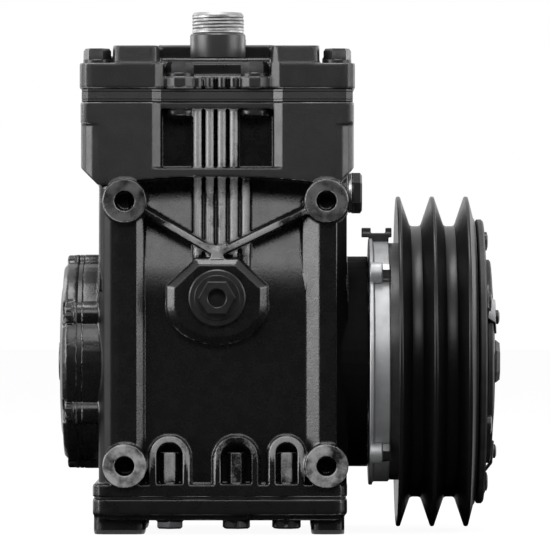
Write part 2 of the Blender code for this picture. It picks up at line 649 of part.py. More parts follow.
def crankshaft():
    """Shaft with a pin for each piston, half a turn apart, webs between them and a tapered nose."""
    body = rod(REAR_JOURNAL_R, "X", REAR_TIP, -BORE_X - PIN_HALF - 8, steps=12)
    inner, outer = BORE_X - PIN_HALF, BORE_X + PIN_HALF
    webs = [prism(stadium(THROW, 15.0), "X", -inner, inner)]
    webs += [prism(stadium(THROW, 15.0), "X", *ends) for ends in ((-outer - 9, -outer), (outer, outer + 9))]
    pins = []
    for sign in SIDES:
        spot = (0.0, CRANK_Z + sign * THROW)
        pins.append(rod(PIN_R, "X", sign * BORE_X - PIN_HALF - 1, sign * BORE_X + PIN_HALF + 1, spot, 16))
    journal = [(0, outer + 7), (FRONT_JOURNAL_R, outer + 7), (FRONT_JOURNAL_R, 62.4)]
    nose = [(SHAFT_R, 62.4), (SHAFT_R, TAPER_X), (NOSE_R, NOSE_X), (0, NOSE_X)]
    fuse(body, *webs, *pins, turned(journal + nose, steps=14))
    holes = []
    for sign in SIDES:
        spot = (0.0, CRANK_Z + sign * THROW / 2)
        holes.append(rod(PLUG_R + 0.4, "X", REAR_TIP - 1, REAR_TIP + PLUG_LONG + 1, spot, 8))
    keyway = box((88.0, 100.0), (-2.0, 2.0), (CRANK_Z + 7.0, CRANK_Z + 14.0))
    tapped = rod(4.4, "X", 92.0, 114.0, steps=10)
    return cut(body, *holes, keyway, tapped)


def oil_way_plug(sign):
    return rod(PLUG_R, "X", REAR_TIP + 0.2, REAR_TIP + PLUG_LONG, (0.0, CRANK_Z + sign * THROW / 2), 8)


def shaft_key():
    return box((88.4, 99.6), (-1.6, 1.6), (CRANK_Z + 7.4, CRANK_Z + 12.4))


def piston(x, crown):
    """A cup with a ring groove, pin bosses and a cross hole for the wrist pin."""
    low = crown - PISTON_HEIGHT
    groove = crown - RING_DROP
    groove_r = 21.4
    below = groove - RING_TALL
    ringed = [(PISTON_R, groove), (groove_r, groove), (groove_r, below), (PISTON_R, below)]
    inside = [(PISTON_R, low), (19.6, low), (19.6, crown - 8.5), (0, crown - 8.5)]
    body = turned([(0, crown), (PISTON_R, crown), *ringed, *inside], "Z", (x, 0.0), 16)
    pin_z = crown - CROWN_TO_PIN
    ends = [box((x + a, x + b), (-8.0, 8.0), (pin_z - 9, crown - 8)) for a, b in ((-19.5, -9.5), (9.5, 19.5))]
    fuse(body, *ends)
    return cut(body, rod(WRIST_R + GAP, "X", x - 30, x + 30, (0.0, pin_z), 12))


def piston_ring(x, crown):
    """A split ring in its groove."""
    high = crown - RING_DROP - GAP
    body = tube(21.9, 23.5, high - RING_TALL + 2 * GAP, high, "Z", (x, 0.0), 16)
    return cut(body, box((x + 15, x + 30), (-0.7, 0.7), (high - 5, high + 5)))


def connecting_rod(x, crown, pin_z):
    """Rod with its small end on the wrist pin and the upper half of a big end that is opened sideways."""
    wrist = crown - CROWN_TO_PIN
    wide = (x - ROD_HALF, x + ROD_HALF)
    body = rod(10.6, "X", *wide, (0.0, wrist), 12)
    shank = [(-6.0, wrist - 6), (6.0, wrist - 6), (9.5, pin_z + 15), (-9.5, pin_z + 15)]
    fuse(body, prism(shank, "X", x - 4.5, x + 4.5), big_end(wide, pin_z, pin_z + GAP / 2, pin_z + 40))
    eye = prism(stadium(THROW, EYE_R, 0.0, (0.0, pin_z)), "X", wide[0] - 2, wide[1] + 2)
    return cut(body, eye, rod(WRIST_R + GAP, "X", wide[0] - 2, wide[1] + 2, (0.0, wrist), 12))


def big_end(wide, pin_z, low, high):
    """The part of the big end between two heights."""
    outline = stadium(THROW, PIN_R + 5.4, 0.0, (0.0, pin_z))
    return common(prism(outline, "X", *wide), box((wide[0] - 1, wide[1] + 1), (-60, 60), (low, high)))


def rod_cap(x, pin_z):
    wide = (x - ROD_HALF, x + ROD_HALF)
    body = big_end(wide, pin_z, pin_z - 40, pin_z - GAP / 2)
    return cut(body, prism(stadium(THROW, EYE_R, 0.0, (0.0, pin_z)), "X", wide[0] - 2, wide[1] + 2))


def coil_housing():
    """The coil cup: a mounting plate, a channel for the winding, lugs and bolt heads."""
    face, end = COIL_FACE, COIL_END
    floor, shelf = face + COIL_FLOOR, face + 3
    outer_wall, inner_wall, inner_r = COIL_WALLS
    plate = [(31, face), (COIL_PLATE_R, face), (COIL_PLATE_R, face + 1.7), (COIL_R, face + 1.7)]
    channel = [(COIL_R, end), (outer_wall, end), (outer_wall, floor), (inner_wall, floor), (inner_wall, end)]
    body = turned(plate + channel + [(inner_r, end), (inner_r, shelf), (31, shelf)], steps=24)
    lugs, heads = [], []
    for k in range(4):
        angle = math.radians(45 + 90 * k)
        spot = (57.8 * math.cos(angle), CRANK_Z + 57.8 * math.sin(angle))
        lugs.append(rod(4.9, "X", face, floor - 0.2, spot, 8))
        heads.append(prism(hexagon(7.0, spot, angle), "X", floor - 1, floor + 3.6))
    return fuse(body, *lugs, *heads)


def coil_winding():
    outer_wall, inner_wall, _ = COIL_WALLS
    low, high = COIL_FACE + COIL_FLOOR + GAP, COIL_END - 1.5
    return tube(inner_wall + 0.6, outer_wall - 0.6, low, high, steps=24)


def coil_terminal():
    """A moulded terminal saddle on top of the coil cup, with a foot and two upright tabs."""
    low = CRANK_Z + COIL_PLATE_R + GAP
    body = box((66.2, 80.0), (-5.0, 5.0), (low, low + 2.0))
    foot = box((72.0, 78.6), (-4.4, 4.4), (CRANK_Z + COIL_R + GAP, low + 1))
    tabs = [box(x, (-3.2, 3.2), (low + 1, low + 4.4)) for x in ((66.2, 70.4), (77.2, 80.0))]
    return fuse(body, foot, *tabs)


def groove_sides():
    """The rim of the pulley from back to front: three flange tips with two V grooves between them."""
    run = (PULLEY_R - GROOVE_R) * math.tan(GROOVE_ANGLE)
    points = []
    for i, tip in enumerate(TIP_X):
        if i:
            points.append((GROOVE_R, tip - TIP_HALF - run))
        points += [(PULLEY_R, tip - TIP_HALF), (PULLEY_R, tip + TIP_HALF)]
        if i < 2:
            points.append((GROOVE_R, tip + TIP_HALF + run))
    return points


def pulley():
    """Two groove pulley with a friction face, a coil pocket and a bearing bore."""
    back, face = PULLEY_BACK, PULLEY_FACE
    near, far = SNAP_GROOVE
    lip = 112.6
    rim = [(POCKET_R, back), *groove_sides(), (66.0, face)]
    bore = [(32.5, face), (32.5, lip), (PULLEY_BORE_R, lip), (PULLEY_BORE_R, far)]
    neck = [(SNAP_R, far), (SNAP_R, near), (PULLEY_BORE_R, near), (PULLEY_BORE_R, 84.5), (43.4, 84.5)]
    pocket = [(43.4, POCKET_END), (POCKET_R, POCKET_END)]
    return turned(rim + bore + neck + pocket, steps=32)


def snap_ring():
    """A split ring in the groove of the pulley bore, behind the bearing."""
    near, far = SNAP_GROOVE
    body = tube(32.2, SNAP_R - 0.6, near + GAP, far - GAP, steps=20)
    return cut(body, box((near - 1, far + 1), (-3.5, 3.5), (CRANK_Z + 20, CRANK_Z + 45)))


def armature_plate():
    """The clutch disc with its rivets."""
    low, high = ARMATURE
    body = tube(43.0, ARMATURE_R, low, high, steps=32)
    rivets = []
    for k in range(6):
        angle = math.radians(60 * k + 30)
        spot = (RIVET_RING_R * math.cos(angle), CRANK_Z + RIVET_RING_R * math.sin(angle))
        rivets.append(prism(circle(4.4, spot, 6), "X", high - 1, high + 2.6, 0.75, spot))
    return fuse(body, *rivets)


def clutch_hub():
    """Hub sleeve on the shaft, with the spring plate that carries the clutch disc in front."""
    low, high = HUB_PLATE
    sleeve = [(SHAFT_R + 0.6, 85.5), (SLEEVE_R, 85.5), (SLEEVE_R, 114.0), (23.5, 114.0), (23.5, low)]
    plate = [(47.0, low), (47.0, high), (28.0, high + 1.4), (16.0, high + 1.6)]
    seat, bore_end = WASHER_SEAT, NOSE_X + 0.8
    bore = [(16.0, seat), (6.6, seat), (6.6, bore_end), (NOSE_R + 0.6, bore_end)]
    body = turned(sleeve + plate + bore, steps=20)
    windows = []
    for k in range(3):
        windows.append(prism(rounded_window(34.5, 120 * k + 90), "X", low - 2, high + 4))
    keyway = box((86.0, 101.0), (-2.0, 2.0), (CRANK_Z + 9.0, CRANK_Z + 13.0))
    return cut(body, *windows, keyway)


def rounded_window(radius, middle):
    """A curved window in the hub plate between its arms."""
    outer = arc((0.0, CRANK_Z), radius + 6.0, middle - 38, middle + 38, 4)
    inner = arc((0.0, CRANK_Z), radius - 5.0, middle + 34, middle - 34, 3)
    return outer + inner


def hub_washer():
    return tube(5.4, 15.2, WASHER_SEAT + GAP, WASHER_TOP, steps=14)


def hub_bolt():
    """The centre bolt that draws the hub up the taper."""
    low = WASHER_TOP + GAP
    body = rod(11.4, "X", low, low + 2.2, steps=14)
    head = prism(hexagon(17.0, (0.0, CRANK_Z)), "X", low + 2, FRONT_END, 0.94, (0.0, CRANK_Z))
    return fuse(body, head, rod(3.9, "X", 94.0, low + 1, steps=10))


def seal_plate():
    return tube(SHAFT_R + 0.8, 30.0, FRONT_FACE + GAP, FRONT_FACE + 3.4, steps=16)


def shaft_seal():
    lip = SHAFT_R + 0.7
    profile = [(lip, 63.0), (18.2, 63.0), (18.2, 68.6), (15.0, 68.6), (14.0, 65.0), (lip, 65.0)]
    return turned(profile, steps=14)


def build_finishes():
    """The finish of each kind of piece."""
    return {
        "black": material("black_paint", (0.012, 0.012, 0.013), 0.38, 0.1),
        "zinc": material("bright_zinc", (0.62, 0.63, 0.64), 0.3, 1.0),
        "steel": material("machined_steel", (0.52, 0.52, 0.53), 0.33, 1.0),
        "dark": material("dark_steel", (0.05, 0.05, 0.055), 0.42, 0.8),
        "iron": material("crank_iron", (0.17, 0.17, 0.18), 0.45, 0.9),
        "alloy": material("piston_alloy", (0.6, 0.61, 0.62), 0.4, 1.0),
        "gasket": material("gasket_sheet", (0.03, 0.03, 0.032), 0.8, 0.0),
        "rubber": material("seal_rubber", (0.015, 0.015, 0.016), 0.65, 0.0),
        "spring": material("reed_steel", (0.45, 0.46, 0.48), 0.28, 1.0),
        "copper": material("coil_copper", (0.55, 0.24, 0.12), 0.4, 0.9),
        "plastic": material("terminal_plastic", (0.09, 0.09, 0.095), 0.5, 0.0),
    }


def build_casing(finish, root):
    add("crankcase", crankcase(), finish["black"], root)
    add("base_plate", base_plate(), finish["black"], root)
    add("base_gasket", base_gasket(), finish["gasket"], root)
    add("valve_plate_gasket", gasket(*PLATE_GASKET), finish["gasket"], root)
    add("valve_plate", valve_plate(), finish["dark"], root)
    add("head_gasket", gasket(*HEAD_GASKET), finish["gasket"], root)
    add("cylinder_head", cylinder_head(), finish["black"], root)
    add("suction_fitting", port_fitting(-PORT_Y), finish["steel"], root)
    add("discharge_fitting", port_fitting(PORT_Y), finish["steel"], root)
    add("oil_plug_near", oil_plug(-1), finish["dark"], root)
    add("oil_plug_far", oil_plug(1), finish["dark"], root)
    add("front_service_plug", service_plug(), finish["dark"], root)
    add("service_plug_washer", service_washer(), finish["steel"], root)
    add("rear_bearing_cover", rear_cover(), finish["black"], root)
    add("rear_cover_seal", rear_seal(), finish["rubber"], root)
    for kind, spots, seat, end in (
        ("corner", CORNER_BOLTS, HEAD_LAND, 176.0),
        ("side", SIDE_BOLTS, SIDE_LAND, LUG_LOW + 1.5),
    ):
        for i, (x, y) in enumerate(spots, 1):
            add(f"head_bolt_{kind}_{i}", hex_bolt(x, y, seat + GAP, end), finish["dark"], root)


def build_valves(finish, root):
    """Suction leaves below the valve plate and discharge leaves above it."""
    for place, x in (("rear", -BORE_X), ("front", BORE_X)):
        add(f"suction_reed_{place}", reed(x, -1, 197.0, 197.5), finish["spring"], root)
        add(f"discharge_reed_{place}", reed(x, 1, 201.3, 201.8), finish["spring"], root)


def build_crank(finish, root, crank):
    add("crankshaft", crankshaft(), finish["iron"], crank)
    add("shaft_key", shaft_key(), finish["steel"], crank)
    rear = bearing(REAR_JOURNAL_R + 0.5, 20.0, REAR_TIP + 1, -54.0)
    add("rear_main_bearing", rear, finish["steel"], root)
    front = bearing(FRONT_JOURNAL_R + 0.6, FRONT_SEAT_R - 0.8, 51.6, FRONT_SEAT_END - 0.4)
    add("front_main_bearing", front, finish["steel"], root)
    add("shaft_seal", shaft_seal(), finish["rubber"], root)
    add("seal_plate", seal_plate(), finish["steel"], root)


def build_piston_set(finish, crank, place, x, sign):
    """One piston with its ring, wrist pin, rod and cap; sign is the side of the crank its pin is on."""
    pin_z = CRANK_Z + sign * THROW
    crown = CROWN_TOP + (sign - 1) * THROW
    plug = axis_point(f"{place}_plug_axis", (REAR_TIP, 0.0, CRANK_Z + sign * THROW / 2), crank)
    pin = axis_point(f"{place}_pin_axis", (x, 0.0, pin_z), plug)
    add(f"oil_way_plug_{place}", oil_way_plug(sign), finish["steel"], plug)
    add(f"piston_{place}", piston(x, crown), finish["alloy"], pin)
    add(f"piston_ring_{place}", piston_ring(x, crown), finish["iron"], pin)
    wrist = rod(WRIST_R, "X", x - 20.5, x + 20.5, (0.0, crown - CROWN_TO_PIN), 12)
    add(f"wrist_pin_{place}", wrist, finish["steel"], pin)
    add(f"con_rod_{place}", connecting_rod(x, crown, pin_z), finish["alloy"], pin)
    add(f"rod_cap_{place}", rod_cap(x, pin_z), finish["alloy"], pin)


def build_clutch(finish, root, crank):
    add("field_coil_housing", coil_housing(), finish["zinc"], root)
    add("coil_winding", coil_winding(), finish["copper"], root)
    add("coil_terminal", coil_terminal(), finish["plastic"], root)
    add("pulley", pulley(), finish["black"], crank)
    add("pulley_bearing", bearing(SLEEVE_R + 0.8, BEARING_R, 90.2, 112.3), finish["steel"], crank)
    add("bearing_snap_ring", snap_ring(), finish["spring"], crank)
    add("armature_plate", armature_plate(), finish["dark"], crank)
    add("clutch_hub", clutch_hub(), finish["dark"], crank)
    add("hub_washer", hub_washer(), finish["steel"], crank)
    add("hub_bolt", hub_bolt(), finish["dark"], crank)


def main():
    clear_scene()
    finish = build_finishes()
    root = axis_point("compressor", (CENTRE_X, 0.0, 0.0))
    crank = axis_point("crank_axis", (0.0, 0.0, CRANK_Z), root)
    build_casing(finish, root)
    build_valves(finish, root)
    build_crank(finish, root, crank)
    build_piston_set(finish, crank, "front", BORE_X, 1)
    build_piston_set(finish, crank, "rear", -BORE_X, -1)
    build_clutch(finish, root, crank)
    bpy.context.view_layer.update()


main()
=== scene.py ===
"""Looks of the twin stack compressor: castings, clutch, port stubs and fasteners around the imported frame.

Shapes are drawn in millimetres in the block's own frame: X runs along the crankshaft from the middle of the
block, Y from the near side to the far side, and Z up from the feet. Finished meshes are in metres.
"""

import json
import logging
import math
from collections.abc import Callable, Iterable, Mapping, Sequence
from dataclasses import dataclass
from enum import Enum
from functools import cache

import bmesh
import bpy
import numpy as np
from mathutils import Matrix, Vector


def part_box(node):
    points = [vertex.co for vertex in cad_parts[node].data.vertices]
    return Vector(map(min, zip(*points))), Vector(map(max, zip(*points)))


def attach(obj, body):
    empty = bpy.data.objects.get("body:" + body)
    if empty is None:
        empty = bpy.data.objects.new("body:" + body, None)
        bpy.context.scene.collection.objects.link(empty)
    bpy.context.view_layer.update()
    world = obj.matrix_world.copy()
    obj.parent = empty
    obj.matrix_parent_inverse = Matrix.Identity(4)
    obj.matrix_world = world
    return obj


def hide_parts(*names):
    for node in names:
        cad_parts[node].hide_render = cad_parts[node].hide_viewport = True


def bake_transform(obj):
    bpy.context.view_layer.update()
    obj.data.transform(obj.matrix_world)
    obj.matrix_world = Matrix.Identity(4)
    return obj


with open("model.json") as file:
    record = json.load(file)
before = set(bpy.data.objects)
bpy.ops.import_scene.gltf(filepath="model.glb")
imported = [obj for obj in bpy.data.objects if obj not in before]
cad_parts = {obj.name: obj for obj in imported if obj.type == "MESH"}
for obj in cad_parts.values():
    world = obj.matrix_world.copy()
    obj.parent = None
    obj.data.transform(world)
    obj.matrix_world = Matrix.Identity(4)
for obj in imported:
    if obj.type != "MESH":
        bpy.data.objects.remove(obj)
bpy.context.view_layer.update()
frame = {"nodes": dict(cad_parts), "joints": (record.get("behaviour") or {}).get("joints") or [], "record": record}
LOG = logging.getLogger("compressor")

MM = 0.001
CRANK = next(joint for joint in frame["joints"] if joint["name"] == "crank_turn")
BLOCK_X = CRANK["pos_m"][0]
CRANK_Z = CRANK["pos_m"][2] / MM
CRANK_AXIS = (0.0, CRANK_Z)
TO_FRAME = Matrix.Translation((BLOCK_X, 0.0, 0.0)) @ Matrix.Scale(MM, 4)
TO_BLOCK = TO_FRAME.inverted()
SIDES = (-1, 1)
FULL_TURN = 2 * math.pi
FINE = 96
SHARP = math.radians(32)

Point = tuple[float, float]
Line = tuple[Point, ...]
Spot = tuple[float, float, float]
Colour = tuple[float, float, float]
Seat = tuple[Vector, Vector, float]


class Axis(Enum):
    """The direction a shape is pulled or turned along."""

    X = "X"
    Y = "Y"
    Z = "Z"

    def spot(self, u: float, v: float, along: float) -> Spot:
        """A point (u, v) across this axis, at a place along it."""
        return {"X": (along, u, v), "Y": (u, along, v), "Z": (u, v, along)}[self.value]


class Body(Enum):
    """The moving groups of the frame."""

    CASING = "casing"
    CRANK = "crank"
    PULLEY = "pulley"
    ARMATURE = "armature"


class Slot(Enum):
    """The record's material slots."""

    CASTING = "black_casting"
    PULLEY = "black_pulley"
    ZINC = "bright_zinc"
    STEEL = "machined_steel"
    DARK = "dark_steel"
    IRON = "crank_iron"
    ALLOY = "piston_alloy"
    GASKET = "gasket_sheet"
    RUBBER = "seal_rubber"
    SPRING = "spring_steel"
    COPPER = "coil_copper"
    PLASTIC = "terminal_plastic"


class Value:
    """A node's output; sums written on it add Math nodes."""

    def __init__(self, tree: "Tree", out: bpy.types.NodeSocket) -> None:
        """Keeps the output and the tree that it is in."""
        self.tree = tree
        self.out = out

    def maths(self, operation: str, left: object, right: object = 0.0) -> "Value":
        """The result of one Math node on two numbers or values."""
        return self.tree.value("ShaderNodeMath", {"operation": operation}, {0: left, 1: right})

    def __add__(self, other: object) -> "Value":
        """Sum."""
        return self.maths("ADD", self, other)

    def __sub__(self, other: object) -> "Value":
        """Difference."""
        return self.maths("SUBTRACT", self, other)

    def __rsub__(self, other: object) -> "Value":
        """Difference from a number."""
        return self.maths("SUBTRACT", other, self)

    def __mul__(self, other: object) -> "Value":
        """Product."""
        return self.maths("MULTIPLY", self, other)

    __radd__ = __add__
    __rmul__ = __mul__

    def size(self) -> "Value":
        """The value without its sign."""
        return self.maths("ABSOLUTE", self)

    def most(self, other: object) -> "Value":
        """The greater of two values."""
        return self.maths("MAXIMUM", self, other)

    def ease(self, low: float, high: float) -> "Value":
        """A smooth step from 0 at low to 1 at high."""
        inputs = {"Value": self, "From Min": low, "From Max": high}
        return self.tree.value("ShaderNodeMapRange", {"interpolation_type": "SMOOTHSTEP"}, inputs)


class Tree:
    """A node tree that is written in short calls."""

    def __init__(self, nodes: bpy.types.NodeTree) -> None:
        """Keeps the tree's nodes and links."""
        self.nodes = nodes.nodes
        self.links = nodes.links

    def feed(self, node: bpy.types.Node, inputs: Mapping) -> bpy.types.Node:
        """Sets or links a node's sockets.

        Args:
            node: the node.
            inputs: socket name or number to a constant, a value or an output.

        Returns:
            The same node.
        """
        for key, given in inputs.items():
            source = given.out if isinstance(given, Value) else given
            if isinstance(source, bpy.types.NodeSocket):
                self.links.new(source, node.inputs[key])
            else:
                node.inputs[key].default_value = source
        return node

    def node(
        self,
        kind: str,
        settings: Mapping | None = None,
        inputs: Mapping | None = None,
    ) -> bpy.types.Node:
        """Adds a node, sets it up and feeds its sockets.

        Args:
            kind: the node's type.
            settings: properties, set before the sockets.
            inputs: socket name or number to a constant, a value or an output.

        Returns:
            The new node.
        """
        made = self.nodes.new(kind)
        for key, setting in (settings or {}).items():
            setattr(made, key, setting)
        return self.feed(made, inputs or {})

    def value(self, kind: str, settings: Mapping, inputs: Mapping) -> Value:
        """The first output of a new node, as a value."""
        return Value(self, self.node(kind, settings, inputs).outputs[0])

    def noise(self, place: object, feature: float, detail: float = 2.0) -> Value:
        """A noise from 0 to 1 whose features have a size in millimetres."""
        inputs = {"Vector": place, "Scale": 1.0 / (feature * MM), "Detail": detail}
        return self.value("ShaderNodeTexNoise", {}, inputs)

    def blend(self, share: object, first: object, second: object) -> bpy.types.NodeSocket:
        """A colour between two colours."""
        first, second = ((*c, 1.0) if isinstance(c, tuple) else c for c in (first, second))
        return self.node("ShaderNodeMix", {"data_type": "RGBA"}, {0: share, 6: first, 7: second}).outputs[2]

    def stretched(self, place: object, scale: Colour) -> bpy.types.NodeSocket:
        """Coordinates scaled along each axis, for streaks."""
        return self.node("ShaderNodeMapping", {}, {"Vector": place, "Scale": scale}).outputs[0]

    def joined(self, *parts: bpy.types.NodeSocket) -> bpy.types.NodeSocket:
        """Joins geometries into one.

        Args:
            parts: the geometries.

        Returns:
            The joined geometry.
        """
        whole = self.node("GeometryNodeJoinGeometry")
        for part in parts:
            self.links.new(part, whole.inputs[0])
        return whole.outputs[0]


@dataclass(frozen=True)
class Finish:
    """What every finish has: a name, the record's slot that it belongs to, a colour and a roughness."""

    name: str
    slot: Slot
    colour: Colour
    rough: float = 0.4

    def start(self) -> tuple[bpy.types.Material, Tree, bpy.types.Node, bpy.types.NodeSocket]:
        """Makes an empty material.

        Returns:
            The material, its tree, its Principled node and its object coordinates.
        """
        material = bpy.data.materials.new(self.name)
        material.use_nodes = True
        tree = Tree(material.node_tree)
        shader = material.node_tree.nodes["Principled BSDF"]
        return material, tree, shader, tree.node("ShaderNodeTexCoord").outputs["Object"]

    def relief(self, tree: Tree, height: Value, depth: float, strength: float) -> Value:
        """The normal of a bump, its height from 0 to 1 and its depth in millimetres."""
        inputs = {"Height": height, "Distance": depth * MM, "Strength": strength}
        return tree.value("ShaderNodeBump", {}, inputs)

    def make(self) -> bpy.types.Material:
        """Builds the material."""
        raise NotImplementedError


@dataclass(frozen=True)
class CastPaint(Finish):
    """Satin paint on a sand casting: grain, mottling, painted light above a height and bare edges.

    The painted light is a lighter colour on the outer faces of the stacks and the head; their recesses keep
    the dark colour as painted shade. The bare edges are partly edge wear and partly painted highlight.
    Heights and sizes are in millimetres. The painted light and the grinding start out of reach, and a finish
    that has them brings them down onto the casting.
    """

    painted_light_colour: Colour = (0.015, 0.015, 0.0154)
    painted_light_from: float = 1000.0
    painted_light_to: float = 1001.0
    painted_light_ragged: float = 6.0
    ground_from: float = 1000.0
    ground_edge: float = 0.3
    ground_heights: Point = (60.0, 150.0)
    dulled: float = 0.72
    # Bare metal colour: on the ground boss faces, and as edge wear and painted highlight on edges and crests.
    bare: Colour = (0.2, 0.2, 0.203)
    wear_and_highlight_amount: float = 0.8
    specular: float = 0.5
    grain: float = 0.9
    grain_depth: float = 0.07
    mottle: float = 6.5
    cloud: float = 24.0
    half_block: Point = (62.0, 50.0)

    def outer(self, x: Value, y: Value) -> Value:
        """1 on the outermost faces of the stacks and the head, which take the painted light; 0 in their recesses,
        which keep the dark colour as painted shade.
        """
        along, across = (1.0 / (half * MM) for half in self.half_block)
        return (y.size() * across).most((x - BLOCK_X).size() * along).ease(0.9, 0.95)

    def ground(self, y: Value, z: Value) -> Value:
        """1 on the boss faces that are ground bare, fading out towards the upper bosses."""
        edge, (low, high) = self.ground_from * MM, (height * MM for height in self.ground_heights)
        return y.size().ease(edge, edge + self.ground_edge * MM) * (1.0 - z.ease(low, high) * self.dulled)

    def make(self) -> bpy.types.Material:
        """Builds the material.

        Returns:
            The paint, with bare metal colour where the piece's attribute says so: partly edge wear, partly painted
            highlight.
        """
        material, tree, shader, place = self.start()
        grain = tree.noise(place, self.grain, 4.0)
        mottle = tree.noise(place, self.mottle, 3.0)
        broad = tree.noise(place, self.cloud)
        x, y, z = (Value(tree, out) for out in tree.node("ShaderNodeSeparateXYZ", {}, {0: place}).outputs)
        # Painted light: a lighter colour above a height on the outer faces; the recesses stay dark as painted
        # shade.
        height = z + (mottle - 0.5) * (self.painted_light_ragged * MM)
        ramp = height.ease(self.painted_light_from * MM, self.painted_light_to * MM) * self.outer(x, y)
        # Bare colour on proud edges and crests: partly edge wear, partly painted highlight.
        rub_and_highlight = Value(tree, tree.node("ShaderNodeAttribute", {"attribute_name": "wear_and_highlight"}).outputs["Fac"])
        patchy = rub_and_highlight * (0.5 + broad.ease(0.36, 0.64) * 0.6)
        bare_edges_and_highlights = (patchy + (mottle - 0.5) * 0.5 + (grain - 0.5) * 0.4).ease(0.42, 0.8)
        ground = self.ground(y, z) * mottle.ease(0.3, 0.68)
        coat = tree.blend(ramp * (0.75 + broad * 0.5), self.colour, self.painted_light_colour)
        looks = {
            "Base Color": tree.blend((bare_edges_and_highlights * self.wear_and_highlight_amount).most(ground), coat, self.bare),
            "Roughness": self.rough + (mottle - 0.5) * 0.14 + (grain - 0.5) * 0.08 + ramp * 0.1,
            "Specular IOR Level": self.specular,
            "Normal": self.relief(tree, grain + mottle * 0.8 + broad * 0.6, self.grain_depth, 0.6),
        }
        tree.feed(shader, looks)
        return material


@dataclass(frozen=True)
class Metal(Finish):
    """Bare or plated metal with tool marks: streaks are short along one axis and long along the others."""

    marks: Colour = (1.0, 0.06, 0.06)
    mark_size: float = 0.35
    mark_depth: float = 0.05
    cloud: float = 7.0
    stain: float = 0.35
    metallic: float = 1.0

    def make(self) -> bpy.types.Material:
        """Builds the material.

        Returns:
            The metal, clouded by its stain.
        """
        material, tree, shader, place = self.start()
        streak = tree.noise(tree.stretched(place, self.marks), self.mark_size, 3.0)
        cloud = tree.noise(place, self.cloud, 4.0)
        dark = tuple(c * (1.0 - self.stain) for c in self.colour)
        looks = {
            "Base Color": tree.blend(cloud.ease(0.3, 0.75), self.colour, dark),
            "Roughness": self.rough + (streak - 0.5) * 0.2 + (cloud - 0.5) * 0.18,
            "Metallic": self.metallic,
            "Normal": self.relief(tree, streak, self.mark_depth, 0.4),
        }
        tree.feed(shader, looks)
        return material


@dataclass(frozen=True)
class Moulded(Finish):
    """Rubber, gasket sheet or plastic: a fine speckle and a soft sheen."""

    fleck: float = 0.5
    fleck_depth: float = 0.04
    fleck_light: float = 1.9

    def make(self) -> bpy.types.Material:
        """Builds the material.

        Returns:
            The speckled material.
        """
        material, tree, shader, place = self.start()
        speck = tree.noise(place, self.fleck, 3.0)
        light = tuple(c * self.fleck_light for c in self.colour)
        looks = {
            "Base Color": tree.blend(speck.ease(0.4, 0.75), self.colour, light),
            "Roughness": self.rough + (speck - 0.5) * 0.2,
            "Normal": self.relief(tree, speck, self.fleck_depth, 0.4),
        }
        tree.feed(shader, looks)
        return material


BLACK = (0.004, 0.004, 0.0042)
# Painted light: the stacks and the head turn a lighter colour above these heights.
CASE_PAINTED_LIGHT = {"painted_light_colour": (0.012, 0.012, 0.0123), "painted_light_from": 152.0, "painted_light_to": 164.0}
HEAD_PAINTED_LIGHT = {"painted_light_colour": (0.008, 0.008, 0.0082), "painted_light_from": 180.0, "painted_light_to": 190.0}
SMOOTH_GRAIN = {"grain": 1.4, "grain_depth": 0.03}
TURNED_UPRIGHT = (0.06, 0.06, 1.0)
